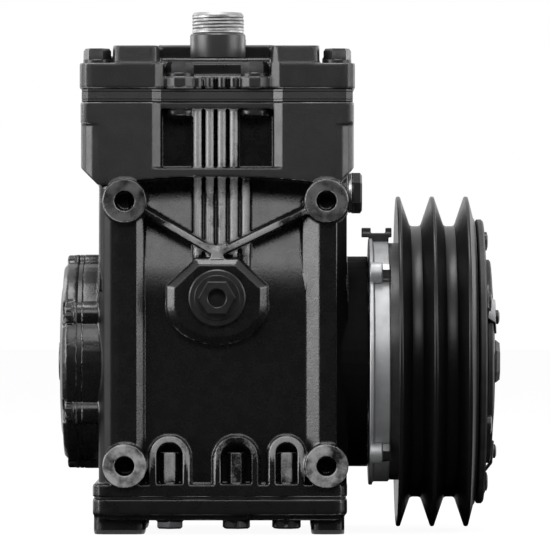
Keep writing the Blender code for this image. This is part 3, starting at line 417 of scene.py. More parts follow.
# The first finish of each slot is the one that CAD nodes get.
FINISHES: dict[str, Finish] = {
    finish.name: finish
    for finish in (
        CastPaint("cover_paint", Slot.CASTING, BLACK, 0.29, wear_and_highlight_amount=0.35),
        CastPaint("case_paint", Slot.CASTING, BLACK, 0.27, ground_from=54.3, **CASE_PAINTED_LIGHT),
        # Painted shade: darker, duller copies of the case paint for the housing behind the clutch and the column
        # corners.
        CastPaint("painted_shade_black", Slot.CASTING, (0.0012, 0.0012, 0.0013), 0.6, specular=0.05),
        CastPaint("painted_shade_corner", Slot.CASTING, (0.003, 0.003, 0.0032), 0.4, specular=0.18, wear_and_highlight_amount=0.5),
        CastPaint("head_paint", Slot.CASTING, BLACK, 0.29, wear_and_highlight_amount=0.5, **HEAD_PAINTED_LIGHT),
        # Painted light: a lighter black on the inset joints between the castings, lifting the shade that falls
        # there.
        CastPaint("joint_painted_light", Slot.CASTING, (0.02, 0.02, 0.0204), 0.34),
        CastPaint("stub_paint", Slot.CASTING, (0.02, 0.02, 0.0205), 0.34),
        CastPaint("pulley_paint", Slot.PULLEY, (0.0035, 0.0035, 0.0037), 0.34, specular=0.3, **SMOOTH_GRAIN),
        Metal("zinc_plate", Slot.ZINC, (0.46, 0.465, 0.475), 0.55, stain=0.16, metallic=0.8),
        # Painted shade: a darker finish on the part of the coil cup inside the pulley, where the flange shades it.
        Metal("coil_painted_shade", Slot.ZINC, (0.06, 0.06, 0.062), 0.42, metallic=0.6),
        Metal("turned_steel", Slot.STEEL, (0.5, 0.5, 0.505), 0.36, marks=TURNED_UPRIGHT),
        Metal("stub_zinc", Slot.STEEL, (0.36, 0.36, 0.365), 0.5, marks=TURNED_UPRIGHT),
        Metal("black_oxide", Slot.DARK, (0.035, 0.035, 0.037), 0.38, metallic=0.7, stain=0.5),
        Metal("spring_dark", Slot.DARK, (0.1, 0.1, 0.104), 0.32, marks=(1.0, 1.0, 0.08)),
        Metal("phosphate", Slot.DARK, (0.016, 0.016, 0.017), 0.55, metallic=0.25, stain=0.5),
        Metal("ground_iron", Slot.IRON, (0.2, 0.2, 0.21)),
        Metal("cast_alloy", Slot.ALLOY, (0.6, 0.61, 0.62), 0.42, mark_size=0.8),
        Metal("spring_strip", Slot.SPRING, (0.45, 0.46, 0.48), 0.28),
        Metal("copper", Slot.COPPER, (0.62, 0.3, 0.16), 0.35),
        Moulded("fibre_sheet", Slot.GASKET, (0.012, 0.012, 0.012), 0.75),
        Moulded("seal_rubber", Slot.RUBBER, (0.012, 0.012, 0.012), 0.6),
        Moulded("moulded_plastic", Slot.PLASTIC, (0.035, 0.035, 0.036), 0.45),
    )
}


@cache
def paint(finish: str) -> bpy.types.Material:
    """The material of a finish by name, made once."""
    return FINISHES[finish].make()


def polar(radius: float, angle: float, centre: Point = CRANK_AXIS) -> Point:
    """The point at a radius and an angle round a centre."""
    return centre[0] + radius * math.cos(angle), centre[1] + radius * math.sin(angle)


def circle(radius: float, centre: Point = CRANK_AXIS, steps: int = FINE, turn: float = 0.0) -> list[Point]:
    """Points round a circle."""
    return [polar(radius, turn + FULL_TURN * k / steps, centre) for k in range(steps)]


def arc(centre: Point, radius: float, first: float, last: float, steps: int) -> list[Point]:
    """Points on an arc, angles in degrees."""
    spots = [math.radians(first + (last - first) * k / steps) for k in range(steps + 1)]
    return [polar(radius, a, centre) for a in spots]


def hexagon(across: float, centre: Point, steps: int) -> list[Point]:
    """Points round a hexagon with corners along the first axis, steps to a full turn."""
    turns = [FULL_TURN * k / steps for k in range(steps)]
    return [polar(across / 2 / math.cos(a % (math.pi / 3) - math.pi / 6), a, centre) for a in turns]


def ring_spots(radius: float, count: int, first: float) -> list[Point]:
    """Evenly spaced places round the crank axis, the first at an angle in degrees."""
    return circle(radius, steps=count, turn=math.radians(first))


def end_seats(x: float, spots: Iterable[Point], way: int = 1, turn: float = 0.0) -> list[Seat]:
    """Seats on a face across the crank axis, each turned some degrees on from the one before."""
    return [(Vector((x, y, z)), Vector((way, 0, 0)), turn * k) for k, (y, z) in enumerate(spots)]


def linked(name: str, data: bpy.types.ID) -> bpy.types.Object:
    """Makes an object in the scene.

    Args:
        name: its name.
        data: its mesh, lamp or camera.

    Returns:
        The object.
    """
    made = bpy.data.objects.new(name, data)
    bpy.context.scene.collection.objects.link(made)
    return made


def smooth(mesh: bpy.types.Mesh) -> None:
    """Shades a mesh smooth and keeps its sharp edges."""
    mesh.shade_smooth()
    mesh.set_sharp_from_angle(angle=SHARP)


class Shape:
    """A mesh that is drawn from closed volumes, in millimetres."""

    def __init__(self) -> None:
        """Starts with nothing drawn."""
        self.mesh = bmesh.new()

    def copy_node(self, node: str) -> "Shape":
        """Adds a merged copy of a CAD node.

        Args:
            node: the node's name.

        Returns:
            This shape.
        """
        self.mesh.from_mesh(frame["nodes"][node].data)
        bmesh.ops.transform(self.mesh, matrix=TO_BLOCK, verts=self.mesh.verts)
        bmesh.ops.remove_doubles(self.mesh, verts=self.mesh.verts, dist=1e-3)
        return self

    def prism(
        self,
        outline: Sequence[Point],
        axis: Axis,
        low: float,
        high: float,
        taper: float = 1.0,
        about: Point = (0.0, 0.0),
    ) -> "Shape":
        """Adds a closed outline pulled along an axis.

        Args:
            outline: points across the axis.
            axis: direction of the pull.
            low: where it starts.
            high: where it ends.
            taper: size of the far end against the near end.
            about: the point that the far end is drawn towards.

        Returns:
            This shape.
        """
        ends = []
        mid_u, mid_v = about
        for along, scale in ((low, 1.0), (high, taper)):
            drawn = [(mid_u + (u - mid_u) * scale, mid_v + (v - mid_v) * scale) for u, v in outline]
            ends.append([self.mesh.verts.new(axis.spot(u, v, along)) for u, v in drawn])
        bottom, top = ends
        sides = []
        for i, vert in enumerate(bottom):
            j = (i + 1) % len(bottom)
            sides.append(self.mesh.faces.new((vert, bottom[j], top[j], top[i])))
        caps = [self.mesh.faces.new(bottom), self.mesh.faces.new(top)]
        bmesh.ops.recalc_face_normals(self.mesh, faces=sides + caps)
        return self

    def lathe(
        self,
        profile: Sequence[Point],
        axis: Axis = Axis.X,
        centre: Point = CRANK_AXIS,
        steps: int = FINE,
    ) -> "Shape":
        """Adds a closed profile of (radius, along) points turned about an axis.

        Args:
            profile: the profile's corners.
            axis: the axis that it turns about.
            centre: where the axis stands.
            steps: faces round the axis.

        Returns:
            This shape.
        """
        rings = []
        for k in range(steps):
            spots = [axis.spot(*polar(r, FULL_TURN * k / steps, centre), along) for r, along in profile]
            rings.append([self.mesh.verts.new(spot) for spot in spots])
        faces = []
        for k, here in enumerate(rings):
            there = rings[(k + 1) % steps]
            for i in range(len(profile)):
                j = (i + 1) % len(profile)
                if profile[i][0] or profile[j][0]:
                    faces.append(self.mesh.faces.new((here[i], here[j], there[j], there[i])))
        bmesh.ops.recalc_face_normals(self.mesh, faces=faces)
        poles = [v for ring in rings for v, (r, _) in zip(ring, profile) if r == 0]
        bmesh.ops.remove_doubles(self.mesh, verts=poles, dist=1e-4)
        return self

    def collar(self, outlines: Sequence[tuple[Sequence[Point], float]], axis: Axis) -> "Shape":
        """Adds a ring whose section changes from outline to outline and closes on the first.

        Args:
            outlines: outlines of equal length, each with its place along the axis.
            axis: the axis that the ring stands on.

        Returns:
            This shape.
        """
        rings = [[self.mesh.verts.new(axis.spot(u, v, along)) for u, v in line] for line, along in outlines]
        faces = []
        for here, there in zip(rings, rings[1:] + rings[:1]):
            for i in range(len(here)):
                j = (i + 1) % len(here)
                faces.append(self.mesh.faces.new((here[i], here[j], there[j], there[i])))
        bmesh.ops.recalc_face_normals(self.mesh, faces=faces)
        return self

    def rod(
        self,
        radius: float,
        axis: Axis,
        low: float,
        high: float,
        centre: Point,
        edge: float = 0.0,
    ) -> "Shape":
        """Adds a round bar.

        Args:
            radius: its radius.
            axis: its direction.
            low: where it starts.
            high: where it ends.
            centre: where its axis stands.
            edge: width of the broken edges at its ends.

        Returns:
            This shape.
        """
        neck = radius - edge
        body = [(0, low), (neck, low), (radius, low + edge), (radius, high - edge), (neck, high), (0, high)]
        return self.lathe(list(dict.fromkeys(body)), axis, centre, 40)

    def object(self, name: str, *finishes: str) -> bpy.types.Object:
        """Turns the drawing into an object in the frame.

        Args:
            name: the piece's name.
            finishes: names of its finishes, in the order of its material numbers.

        Returns:
            The object, shaded smooth with sharp edges kept.
        """
        mesh = bpy.data.meshes.new(name)
        self.mesh.to_mesh(mesh)
        self.mesh.free()
        mesh.transform(TO_FRAME)
        for finish in finishes:
            mesh.materials.append(paint(finish))
        smooth(mesh)
        return linked(name, mesh)


def rows(items: bpy.types.bpy_prop_collection, key: str, wide: int = 3, kind: type = float) -> np.ndarray:
    """Reads one property of a mesh's points, edges or faces.

    Args:
        items: the points, edges or faces.
        key: the property.
        wide: how many numbers it has.
        kind: the kind of number.

    Returns:
        One row for each item.
    """
    table = np.empty(len(items) * wide, dtype=kind)
    items.foreach_get(key, table)
    return table.reshape(-1, wide)


def block_spots(items: bpy.types.bpy_prop_collection, key: str) -> np.ndarray:
    """Places of a mesh's points or faces in the block's frame, in millimetres and one row each."""
    return (rows(items, key) - (BLOCK_X, 0.0, 0.0)) / MM


def baked(piece: bpy.types.Object) -> bpy.types.Mesh:
    """Works a piece's modifiers into its mesh and takes them off.

    Args:
        piece: the piece.

    Returns:
        Its new mesh.
    """
    graph = bpy.context.evaluated_depsgraph_get()
    mesh = bpy.data.meshes.new_from_object(piece.evaluated_get(graph))
    mesh.name = piece.name
    piece.modifiers.clear()
    piece.data = mesh
    return mesh


def break_edges(piece: bpy.types.Object, width: float, angle: float) -> None:
    """Adds a modifier that breaks a piece's edges.

    Args:
        piece: the piece.
        width: width of the broken edges, in millimetres.
        angle: the least angle of an edge that is broken, in degrees.
    """
    bevel = piece.modifiers.new("broken_edges", "BEVEL")
    bevel.width = width * MM
    bevel.segments = 2
    bevel.limit_method = "ANGLE"
    bevel.angle_limit = math.radians(angle)


def carve(piece: bpy.types.Object, cutter: bpy.types.Object, edge: float) -> bpy.types.Object:
    """Cuts one piece out of another and breaks the edges.

    Args:
        piece: the piece that stays.
        cutter: what is cut away; it is removed.
        edge: width of the broken edges, in millimetres.

    Returns:
        The cut piece.
    """
    cut = piece.modifiers.new("cut", "BOOLEAN")
    cut.operation = "DIFFERENCE"
    cut.object = cutter
    break_edges(piece, edge, 50.0)
    mesh = baked(piece)
    bpy.data.objects.remove(cutter)
    clean = bmesh.new()
    clean.from_mesh(mesh)
    bmesh.ops.remove_doubles(clean, verts=clean.verts, dist=0.01 * MM)
    bmesh.ops.dissolve_degenerate(clean, edges=clean.edges, dist=0.01 * MM)
    clean.to_mesh(mesh)
    clean.free()
    smooth(mesh)
    return piece


def settle(piece: bpy.types.Object, body: Body, slot: Slot, nodes: Sequence[str] = ()) -> None:
    """Puts a finished piece in its place on the frame.

    Args:
        piece: the piece.
        body: the body that it rides on.
        slot: its material slot; not used.
        nodes: the CAD nodes that it takes the place of.
    """
    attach(piece, body.value)
    if nodes:
        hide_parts(*nodes)
    LOG.info("%s: %d faces on %s", piece.name, len(piece.data.polygons), body.value)


@dataclass
class Skin:
    """How drawn volumes melt into one cast skin with rounded edges and fillets."""

    voxel: float = 0.7
    rounds: int = 4
    most: int = 180000
    evenness: int = 60
    # The gain makes edge wear strong enough to stand in as painted highlight on the edges.
    wear_and_highlight_gain: float = 5.5

    def cast(
        self,
        shape: Shape,
        name: str,
        finish: str,
        ease: Callable[[np.ndarray], np.ndarray] | None = None,
    ) -> bpy.types.Object:
        """Melts a drawing.

        Args:
            shape: overlapping closed volumes.
            name: the piece's name.
            finish: its finish.
            ease: moves the melted points, where a broad bend is rounded.

        Returns:
            The cast piece, with an attribute on its points that holds edge wear and painted highlight.
        """
        piece = shape.object(name, finish)
        melt = piece.modifiers.new("melt", "REMESH")
        melt.mode = "VOXEL"
        melt.voxel_size = self.voxel * MM
        soften = piece.modifiers.new("soften", "SMOOTH")
        soften.factor = 0.5
        soften.iterations = self.rounds
        mesh = baked(piece)
        if ease:
            spots = ease(block_spots(mesh.vertices, "co")) * MM + (BLOCK_X, 0.0, 0.0)
            mesh.vertices.foreach_set("co", spots.ravel())
        thin = piece.modifiers.new("thin", "DECIMATE")
        thin.ratio = min(1.0, self.most / (2 * len(mesh.polygons)))
        baked(piece).shade_smooth()
        even = piece.modifiers.new("even", "WEIGHTED_NORMAL")
        even.mode = "FACE_AREA"
        even.weight = self.evenness
        self.mark_wear_and_highlight(baked(piece))
        return piece

    def mark_wear_and_highlight(self, mesh: bpy.types.Mesh) -> None:
        """Stores how far each point stands proud of its neighbours, from 0 to 1: edge wear, made strong enough to
        stand in as painted highlight.

        Args:
            mesh: the cast mesh, which gets the attribute.
        """
        places, normals = rows(mesh.vertices, "co"), rows(mesh.vertices, "normal")
        pairs = rows(mesh.edges, "vertices", 2, np.int64)
        proud, shares = np.zeros(len(places)), np.zeros(len(places))
        for here, there in (pairs.T, pairs.T[::-1]):
            reach = places[here] - places[there]
            reach /= np.maximum(np.linalg.norm(reach, axis=1, keepdims=True), 1e-9)
            np.add.at(proud, here, (normals[here] * reach).sum(axis=1))
            np.add.at(shares, here, 1.0)
        wear_and_highlight = np.clip(self.wear_and_highlight_gain * proud / np.maximum(shares, 1.0), 0.0, 1.0)
        mesh.attributes.new("wear_and_highlight", "FLOAT", "POINT").data.foreach_set("value", wear_and_highlight.astype(np.float32))


@dataclass
class BoltSet:
    """Headed fasteners on seats, made by one node tree: a head with a broken top edge on a round collar."""

    name: str
    finish: str
    across: float
    tall: float
    sides: int = 6
    crown: float = 0.86
    collar: float = 0.0
    collar_tall: float = 0.0
    collar_crown: float = 0.94
    sunk: float = 0.4
    shank: float = 0.82

    def stud(
        self,
        tree: Tree,
        sides: object,
        radius: Value,
        tall: Value,
        crown: object,
    ) -> bpy.types.NodeSocket:
        """Adds the nodes of one closed stud.

        Args:
            tree: the node tree.
            sides: faces round it.
            radius: its radius.
            tall: its height.
            crown: size of its top against its foot.

        Returns:
            The stud's mesh.
        """
        faces = {"mode": "FACES"}
        inputs = {"Vertices": sides, "Radius": radius}
        foot = tree.node("GeometryNodeMeshCircle", {"fill_type": "NGON"}, inputs).outputs[0]
        under = tree.node("GeometryNodeFlipFaces", {}, {0: foot})
        inputs = {"Mesh": foot, "Offset Scale": tall * self.shank}
        body = tree.node("GeometryNodeExtrudeMesh", faces, inputs).outputs
        inputs = {"Mesh": body["Mesh"], "Selection": body["Top"], "Offset Scale": tall * (1.0 - self.shank)}
        cap = tree.node("GeometryNodeExtrudeMesh", faces, inputs).outputs
        inputs = {"Geometry": cap["Mesh"], "Selection": cap["Top"], "Scale": crown}
        broken = tree.node("GeometryNodeScaleElements", {}, inputs)
        inputs = {"Geometry": tree.joined(under.outputs[0], broken.outputs[0]), "Distance": 1e-6}
        return tree.node("GeometryNodeMergeByDistance", {}, inputs).outputs[0]

    def aim(self, tree: Tree) -> bpy.types.NodeSocket:
        """Adds the nodes that turn each fastener to its seat.

        Args:
            tree: the node tree.

        Returns:
            The rotation, read from the seats' facing and turn.
        """
        vector = {"data_type": "FLOAT_VECTOR"}
        facing, turn = (
            tree.node("GeometryNodeInputNamedAttribute", vector, {"Name": name}).outputs["Attribute"]
            for name in ("facing", "turn")
        )
        up = tree.node("FunctionNodeAlignRotationToVector", {"axis": "Z"}, {"Vector": facing})
        spin = tree.node("FunctionNodeEulerToRotation", {}, {0: turn})
        inputs = {0: up.outputs[0], 1: spin.outputs[0]}
        return tree.node("FunctionNodeRotateRotation", {"rotation_space": "LOCAL"}, inputs).outputs[0]

    def group(self) -> tuple[bpy.types.NodeTree, dict[str, str]]:
        """Builds the node tree.

        Returns:
            The tree, and the identifier of each of its inputs by name.
        """
        group = bpy.data.node_groups.new(f"{self.name}_nodes", "GeometryNodeTree")
        sockets = group.interface
        sizes = ("Radius", "Height", "Crown", "Collar Radius", "Collar Height")
        kinds = {"Seats": "Geometry", **dict.fromkeys(sizes, "Float"), "Sides": "Int", "Finish": "Material"}
        named = {}
        for key, kind in kinds.items():
            socket = sockets.new_socket(key, in_out="INPUT", socket_type=f"NodeSocket{kind}")
            named[key] = socket.identifier
        sockets.new_socket("Fasteners", in_out="OUTPUT", socket_type="NodeSocketGeometry")
        tree = Tree(group)
        given = {out.name: out for out in tree.node("NodeGroupInput").outputs}
        radius, height, crown, collar, collar_tall = (Value(tree, given[key]) for key in sizes)
        head = self.stud(tree, given["Sides"], radius, height + collar_tall, crown)
        washer = self.stud(tree, 40, collar, collar_tall, self.collar_crown)
        whole = tree.joined(head, washer)
        inputs = {"Points": given["Seats"], "Instance": whole, "Rotation": self.aim(tree)}
        placed = tree.node("GeometryNodeInstanceOnPoints", {}, inputs)
        real = tree.node("GeometryNodeRealizeInstances", {}, {"Geometry": placed.outputs[0]})
        inputs = {"Geometry": real.outputs[0], "Material": given["Finish"]}
        dressed = tree.node("GeometryNodeSetMaterial", {}, inputs)
        tree.node("NodeGroupOutput", {}, {0: dressed.outputs[0]})
        return group, named

    def build(self, seats: Sequence[Seat]) -> bpy.types.Object:
        """Places the fasteners.

        Args:
            seats: for each one its seat in millimetres, the way it faces and its turn in degrees.

        Returns:
            One plain mesh with all of them.
        """
        mesh = bpy.data.meshes.new(self.name)
        mesh.from_pydata([TO_FRAME @ (spot - facing * self.sunk) for spot, facing, _ in seats], [], [])
        marks = {
            "facing": [c for _, way, _ in seats for c in way],
            "turn": [c for _, _, a in seats for c in (0.0, 0.0, math.radians(a))],
        }
        for key, numbers in marks.items():
            mesh.attributes.new(key, "FLOAT_VECTOR", "POINT").data.foreach_set("vector", numbers)
        piece = linked(self.name, mesh)
        group, named = self.group()
        maker = piece.modifiers.new("fasteners", "NODES")
        maker.node_group = group
        settings = {
            "Radius": self.across / 2 / math.cos(math.pi / self.sides) * MM,
            "Height": (self.tall - self.collar_tall) * MM,
            "Collar Radius": self.collar * MM,
            "Collar Height": (self.collar_tall + self.sunk) * MM,
            "Crown": self.crown,
            "Sides": self.sides,
            "Finish": paint(self.finish),
        }
        for key, setting in settings.items():
            maker[named[key]] = setting
        smooth(baked(piece))
        return piece

    def dress(self, seats: Sequence[Seat], body: Body, nodes: Sequence[str] = ()) -> None:
        """Places the fasteners and settles them on a body."""
        settle(self.build(seats), body, FINISHES[self.finish].slot, nodes)


@dataclass(frozen=True)
class Zone:
    """A part of the casting, alike on both sides.

    It has a span along X, a range of distances out from the middle plane and a range of heights. It may lean
    in towards its top, and it may carry a painted highlight as bare colour, from 0 to 1.
    """

    span: Point
    deep: Point
    tall: Point
    lean: float = 0.0
    rub_and_highlight: float = 0.0

    def holds(self, x: np.ndarray, y: np.ndarray, z: np.ndarray) -> np.ndarray:
        """True for the points that lie in the zone."""
        spans = ((x, self.span), (abs(y) + self.lean * (z - self.tall[0]), self.deep), (z, self.tall))
        return np.logical_and.reduce([(along > low) & (along < high) for along, (low, high) in spans])


@dataclass(frozen=True)
class Ears:
    """The bolt ears that the casting and its rear cover share."""

    radius: float = 5.9
    ring_r: float = 43.5
    count: int = 6
    first: float = 30.0

    def spots(self) -> list[Point]:
        """The middles of the ears."""
        return ring_spots(self.ring_r, self.count, self.first)


@dataclass
class Crankcase:
    """The main casting: smooth bosses, arches and bearing rings melted onto the CAD block."""

    boss_r: float = 10.0
    boss_hole_r: float = 4.45
    boss_root: float = 41.2
    boss_face: float = 55.0
    ring_edge: float = 0.7
    plug_z: float = 107.5
    plug_root: float = 40.0
    plug_face: float = 52.5
    plug_bevel: float = 2.6
    plug_taper: float = 0.84
    plug_half: float = 22.9
    plug_shoulder: float = -4.2
    plug_belly: float = 17.0
    plug_facets: Line = ((22.9, 5.3), (9.8, 17.7))
    arches: tuple[Point, ...] = ((-21.6, 9.6), (8.6, 10.6), (31.4, 8.6))
    arch_top: float = 45.0
    arch_low: float = 20.0
    arch_wall: float = 2.7
    arch_root: float = 42.2
    arch_edge: float = 49.9
    arch_face: float = 51.0
    arch_step: float = 0.9
    v_foot: float = 130.0
    v_round: float = 9.0
    v_root: float = 42.0
    v_face: float = 49.4
    lug_r: float = 6.9
    lug_x: float = 17.0
    lug_y: float = 40.0
    lug_low: float = 190.2
    lug_top: float = 196.3
    lug_edge: float = 0.6
    fill_low: float = 145.0
    fill_tops: Point = (160.0, 164.5)
    rear_fill: Line = ((-53.9, 28.0), *arc((-47.9, 38.0), 6.0, 180, 90, 8), (-40.0, 44.0), (-40.0, 28.0))
    front_fill: Line = ((45.0, 28.0), (45.0, 44.0), (56.0, 44.0), (58.8, 41.0), (58.8, 28.0))
    rear_face: float = -62.0
    rear_deep: float = 10.0
    rear_radii: Point = (38.2, 46.0)
    ears: Ears = Ears()
    ear_edge: float = 0.5
    front_face: float = 69.0
    front_deep: float = 14.0
    front_radii: Point = (24.0, 48.5)
    panel_y: float = 46.0
    roof_lean: float = 13.0 / 44.0
    bend_z: float = 116.0
    bend_reach: float = 10.0
    bend_near: float = 0.6
    bend_span: Point = (-33.6, 41.6)
    flank_foot: Point = (38.5, 45.0)
    flank_rise: float = 0.625
    # Painted shade: these zones get darker, duller copies of the case paint.
    housing: Zone = Zone((59.6, 80.0), (-1.0, 60.0), (0.0, 130.0))
    front_corner: Zone = Zone((54.2, 59.6), (40.0, 49.9), (24.0, 142.0))
    rear_corner: Zone = Zone((-53.6, -46.5), (40.0, 50.2), (0.0, 157.0))
    # Painted highlights: these crests get bare colour that stands in for the light that they catch.
    v_crest: Zone = Zone((-35.5, 42.0), (48.9, 50.6), (125.0, 150.0), rub_and_highlight=0.82)
    arch_crest: Zone = Zone((-35.5, 42.0), (50.2, 51.6), (24.0, 46.0), rub_and_highlight=0.76)
    pillar_crest: Zone = Zone((-35.5, 42.0), (48.6, 49.6), (24.0, 38.0), rub_and_highlight=0.72)
    roof_rib_crest: Zone = Zone((-11.5, 15.5), (44.7, 46.5), (127.0, 165.5), 0.232, 0.95)
    upper_rib_crest: Zone = Zone((-11.5, 10.0), (43.5, 45.2), (165.5, 193.5), rub_and_highlight=0.84)

    def boss_places(self) -> list[tuple[float, float, int]]:
        """Reads the bosses from the record's bolt holes.

        Returns:
            Each boss as X, Z and side.
        """
        found = []
        for opening in frame["record"]["physics"]["openings"]:
            if opening["name"].endswith("boss_hole"):
                low, high = (TO_BLOCK @ Vector(corner) for corner in opening["box_m"])
                middle = (low + high) / 2
                found.append((middle.x, middle.z, 1 if middle.y > 0 else -1))
        return found

    def ring(self, shape: Shape, radii: Point, run: Point, axis: Axis, centre: Point) -> None:
        """Draws a boss with a hole and broken edges.

        Args:
            shape: the drawing.
            radii: of the hole and of the boss.
            run: from the boss's root to its face.
            axis: its direction.
            centre: where its axis stands.
        """
        (hole, radius), (low, high), edge = radii, run, self.ring_edge
        out = math.copysign(edge, high - low)
        profile = [(hole, low), (radius, low), (radius, high - out), (radius - edge, high)]
        shape.lathe(profile + [(hole + edge, high), (hole, high - out)], axis, centre, 56)

    def horseshoe(self, x: float, half: float) -> list[Point]:
        """Outlines one bolt arch.

        Args:
            x: its middle.
            half: half its width.

        Returns:
            The outline, round outside and then back inside.
        """
        middle, inner, foot = (x, self.arch_top - half), half - self.arch_wall, self.arch_low
        outer = [(x + half, foot), *arc(middle, half, 0, 180, 28), (x - half, foot)]
        return outer + [(x - inner, foot), *arc(middle, inner, 180, 0, 28), (x + inner, foot)]

    def plug_outline(self) -> list[Point]:
        """Outlines the plug boss: facets above and a smooth round below.

        Returns:
            The outline.
        """
        half, shoulder = self.plug_half, self.plug_shoulder
        mirrored = [(-x, z) for x, z in reversed(self.plug_facets)]
        above = [(half, shoulder), *self.plug_facets, *mirrored, (-half, shoulder)]
        turns = [math.pi * (1 + k / 24) for k in range(1, 24)]
        below = [(half * math.cos(a), shoulder + self.plug_belly * math.sin(a)) for a in turns]
        return [(x, self.plug_z + z) for x, z in above + below]

    def v_fillet(self) -> list[Point]:
        """The web that rounds the inner corner of the V rib."""
        rise = self.v_round / math.cos(math.radians(30))
        return [(0.0, self.v_foot - 2.0), *arc((0.0, self.v_foot + rise), self.v_round, 300, 240, 12)]

    def draw_side(self, shape: Shape, side: int) -> None:
        """Draws what one side of the block carries, apart from its bosses.

        Args:
            shape: the drawing.
            side: -1 for the near side, 1 for the far side.
        """
        root = side * self.arch_root
        for x, half in self.arches:
            shape.prism(self.horseshoe(x, half), Axis.Y, root, side * self.arch_edge)
            shape.prism(self.horseshoe(x, half - self.arch_step), Axis.Y, root, side * self.arch_face)
        plug, edge = self.plug_outline(), side * (self.plug_face - self.plug_bevel)
        shape.prism(plug, Axis.Y, side * self.plug_root, edge)
        shape.prism(plug, Axis.Y, edge, side * self.plug_face, self.plug_taper, (0.0, self.plug_z))
        shape.prism(self.v_fillet(), Axis.Y, side * self.v_root, side * self.v_face)
        for end in SIDES:
            lug = (end * self.lug_x, side * self.lug_y)
            shape.rod(self.lug_r, Axis.Z, self.lug_low, self.lug_top, lug, self.lug_edge)
        for plan, top in zip((self.rear_fill, self.front_fill), self.fill_tops):
            shape.prism([(x, side * y) for x, y in plan], Axis.Z, self.fill_low, top)

    def round_bend(self, spots: np.ndarray) -> np.ndarray:
        """Rounds the bend where each side panel leans back into the roof.

        Args:
            spots: the melted points.

        Returns:
            The points, with those near the bend drawn in.
        """
        x, y, z = spots.T
        low, high = self.bend_span
        foot_x, foot_y = self.flank_foot
        face = self.panel_y - self.roof_lean * np.maximum(z - self.bend_z, 0.0)
        reach = np.maximum(self.bend_reach - abs(z - self.bend_z), 0.0)
        near = np.clip(1.5 - abs(abs(y) - face) / self.bend_near, 0.0, 1.0)
        near *= (reach > 0.0) & (x > low) & (x < high)
        flank = np.where(x > foot_x, foot_y + self.flank_rise * (x - foot_x), 0.0)
        drawn = np.maximum(face - self.roof_lean * reach**2 / (4 * self.bend_reach), flank)
        spots[:, 1] = np.sign(y) * (abs(y) * (1.0 - near) + drawn * near)
        return spots

    def shade(self, mesh: bpy.types.Mesh) -> None:
        """Paints shade on the housing behind the clutch and on the column corners, with darker, duller finishes.

        Args:
            mesh: the casting.
        """
        spots = block_spots(mesh.polygons, "center").T
        numbers = np.zeros(len(mesh.polygons), dtype=np.int32)
        darker = {"painted_shade_black": (self.housing, self.front_corner), "painted_shade_corner": (self.rear_corner,)}
        for number, (finish, zones) in enumerate(darker.items(), 1):
            mesh.materials.append(paint(finish))
            for zone in zones:
                numbers[zone.holds(*spots)] = number
        mesh.polygons.foreach_set("material_index", numbers)

    def paint_crest_highlights(self, mesh: bpy.types.Mesh) -> None:
        """Paints highlights as bare colour on the crests of the V rib, the bolt arches and their pillars, and the
        upright ribs.

        Args:
            mesh: the casting.
        """
        wear_and_highlight = rows(mesh.attributes["wear_and_highlight"].data, "value", 1, np.float32).ravel()
        spots = block_spots(mesh.vertices, "co").T
        ribs = (self.v_crest, self.arch_crest, self.pillar_crest, self.roof_rib_crest, self.upper_rib_crest)
        for crest in ribs:
            wear_and_highlight[crest.holds(*spots)] = crest.rub_and_highlight
        mesh.attributes["wear_and_highlight"].data.foreach_set("value", wear_and_highlight)

    def build(self) -> bpy.types.Object:
        """Draws and melts the casting.

        Returns:
            The casting with its finishes, its painted shade and its bare colour: partly edge wear, partly painted
            highlight.
        """
        shape = Shape().copy_node("crankcase")
        for x, z, side in self.boss_places():
            run = (side * self.boss_root, side * self.boss_face)
            self.ring(shape, (self.boss_hole_r, self.boss_r), run, Axis.Y, (x, z))
        for side in SIDES:
            self.draw_side(shape, side)
        rear, front = self.rear_face, self.front_face
        self.ring(shape, self.rear_radii, (rear + self.rear_deep, rear), Axis.X, CRANK_AXIS)
        for spot in self.ears.spots():
            shape.rod(self.ears.radius, Axis.X, rear, rear + self.rear_deep, spot, self.ear_edge)
        self.ring(shape, self.front_radii, (front - self.front_deep, front), Axis.X, CRANK_AXIS)
        skin = Skin(voxel=0.5, rounds=5, most=190000)
        piece = skin.cast(shape, "cast_block", "case_paint", self.round_bend)
        self.shade(piece.data)
        self.paint_crest_highlights(piece.data)
        return piece

    def dress(self) -> None:
        """Settles the casting on the frame."""
        settle(self.build(), Body.CASING, Slot.CASTING, ["crankcase"])


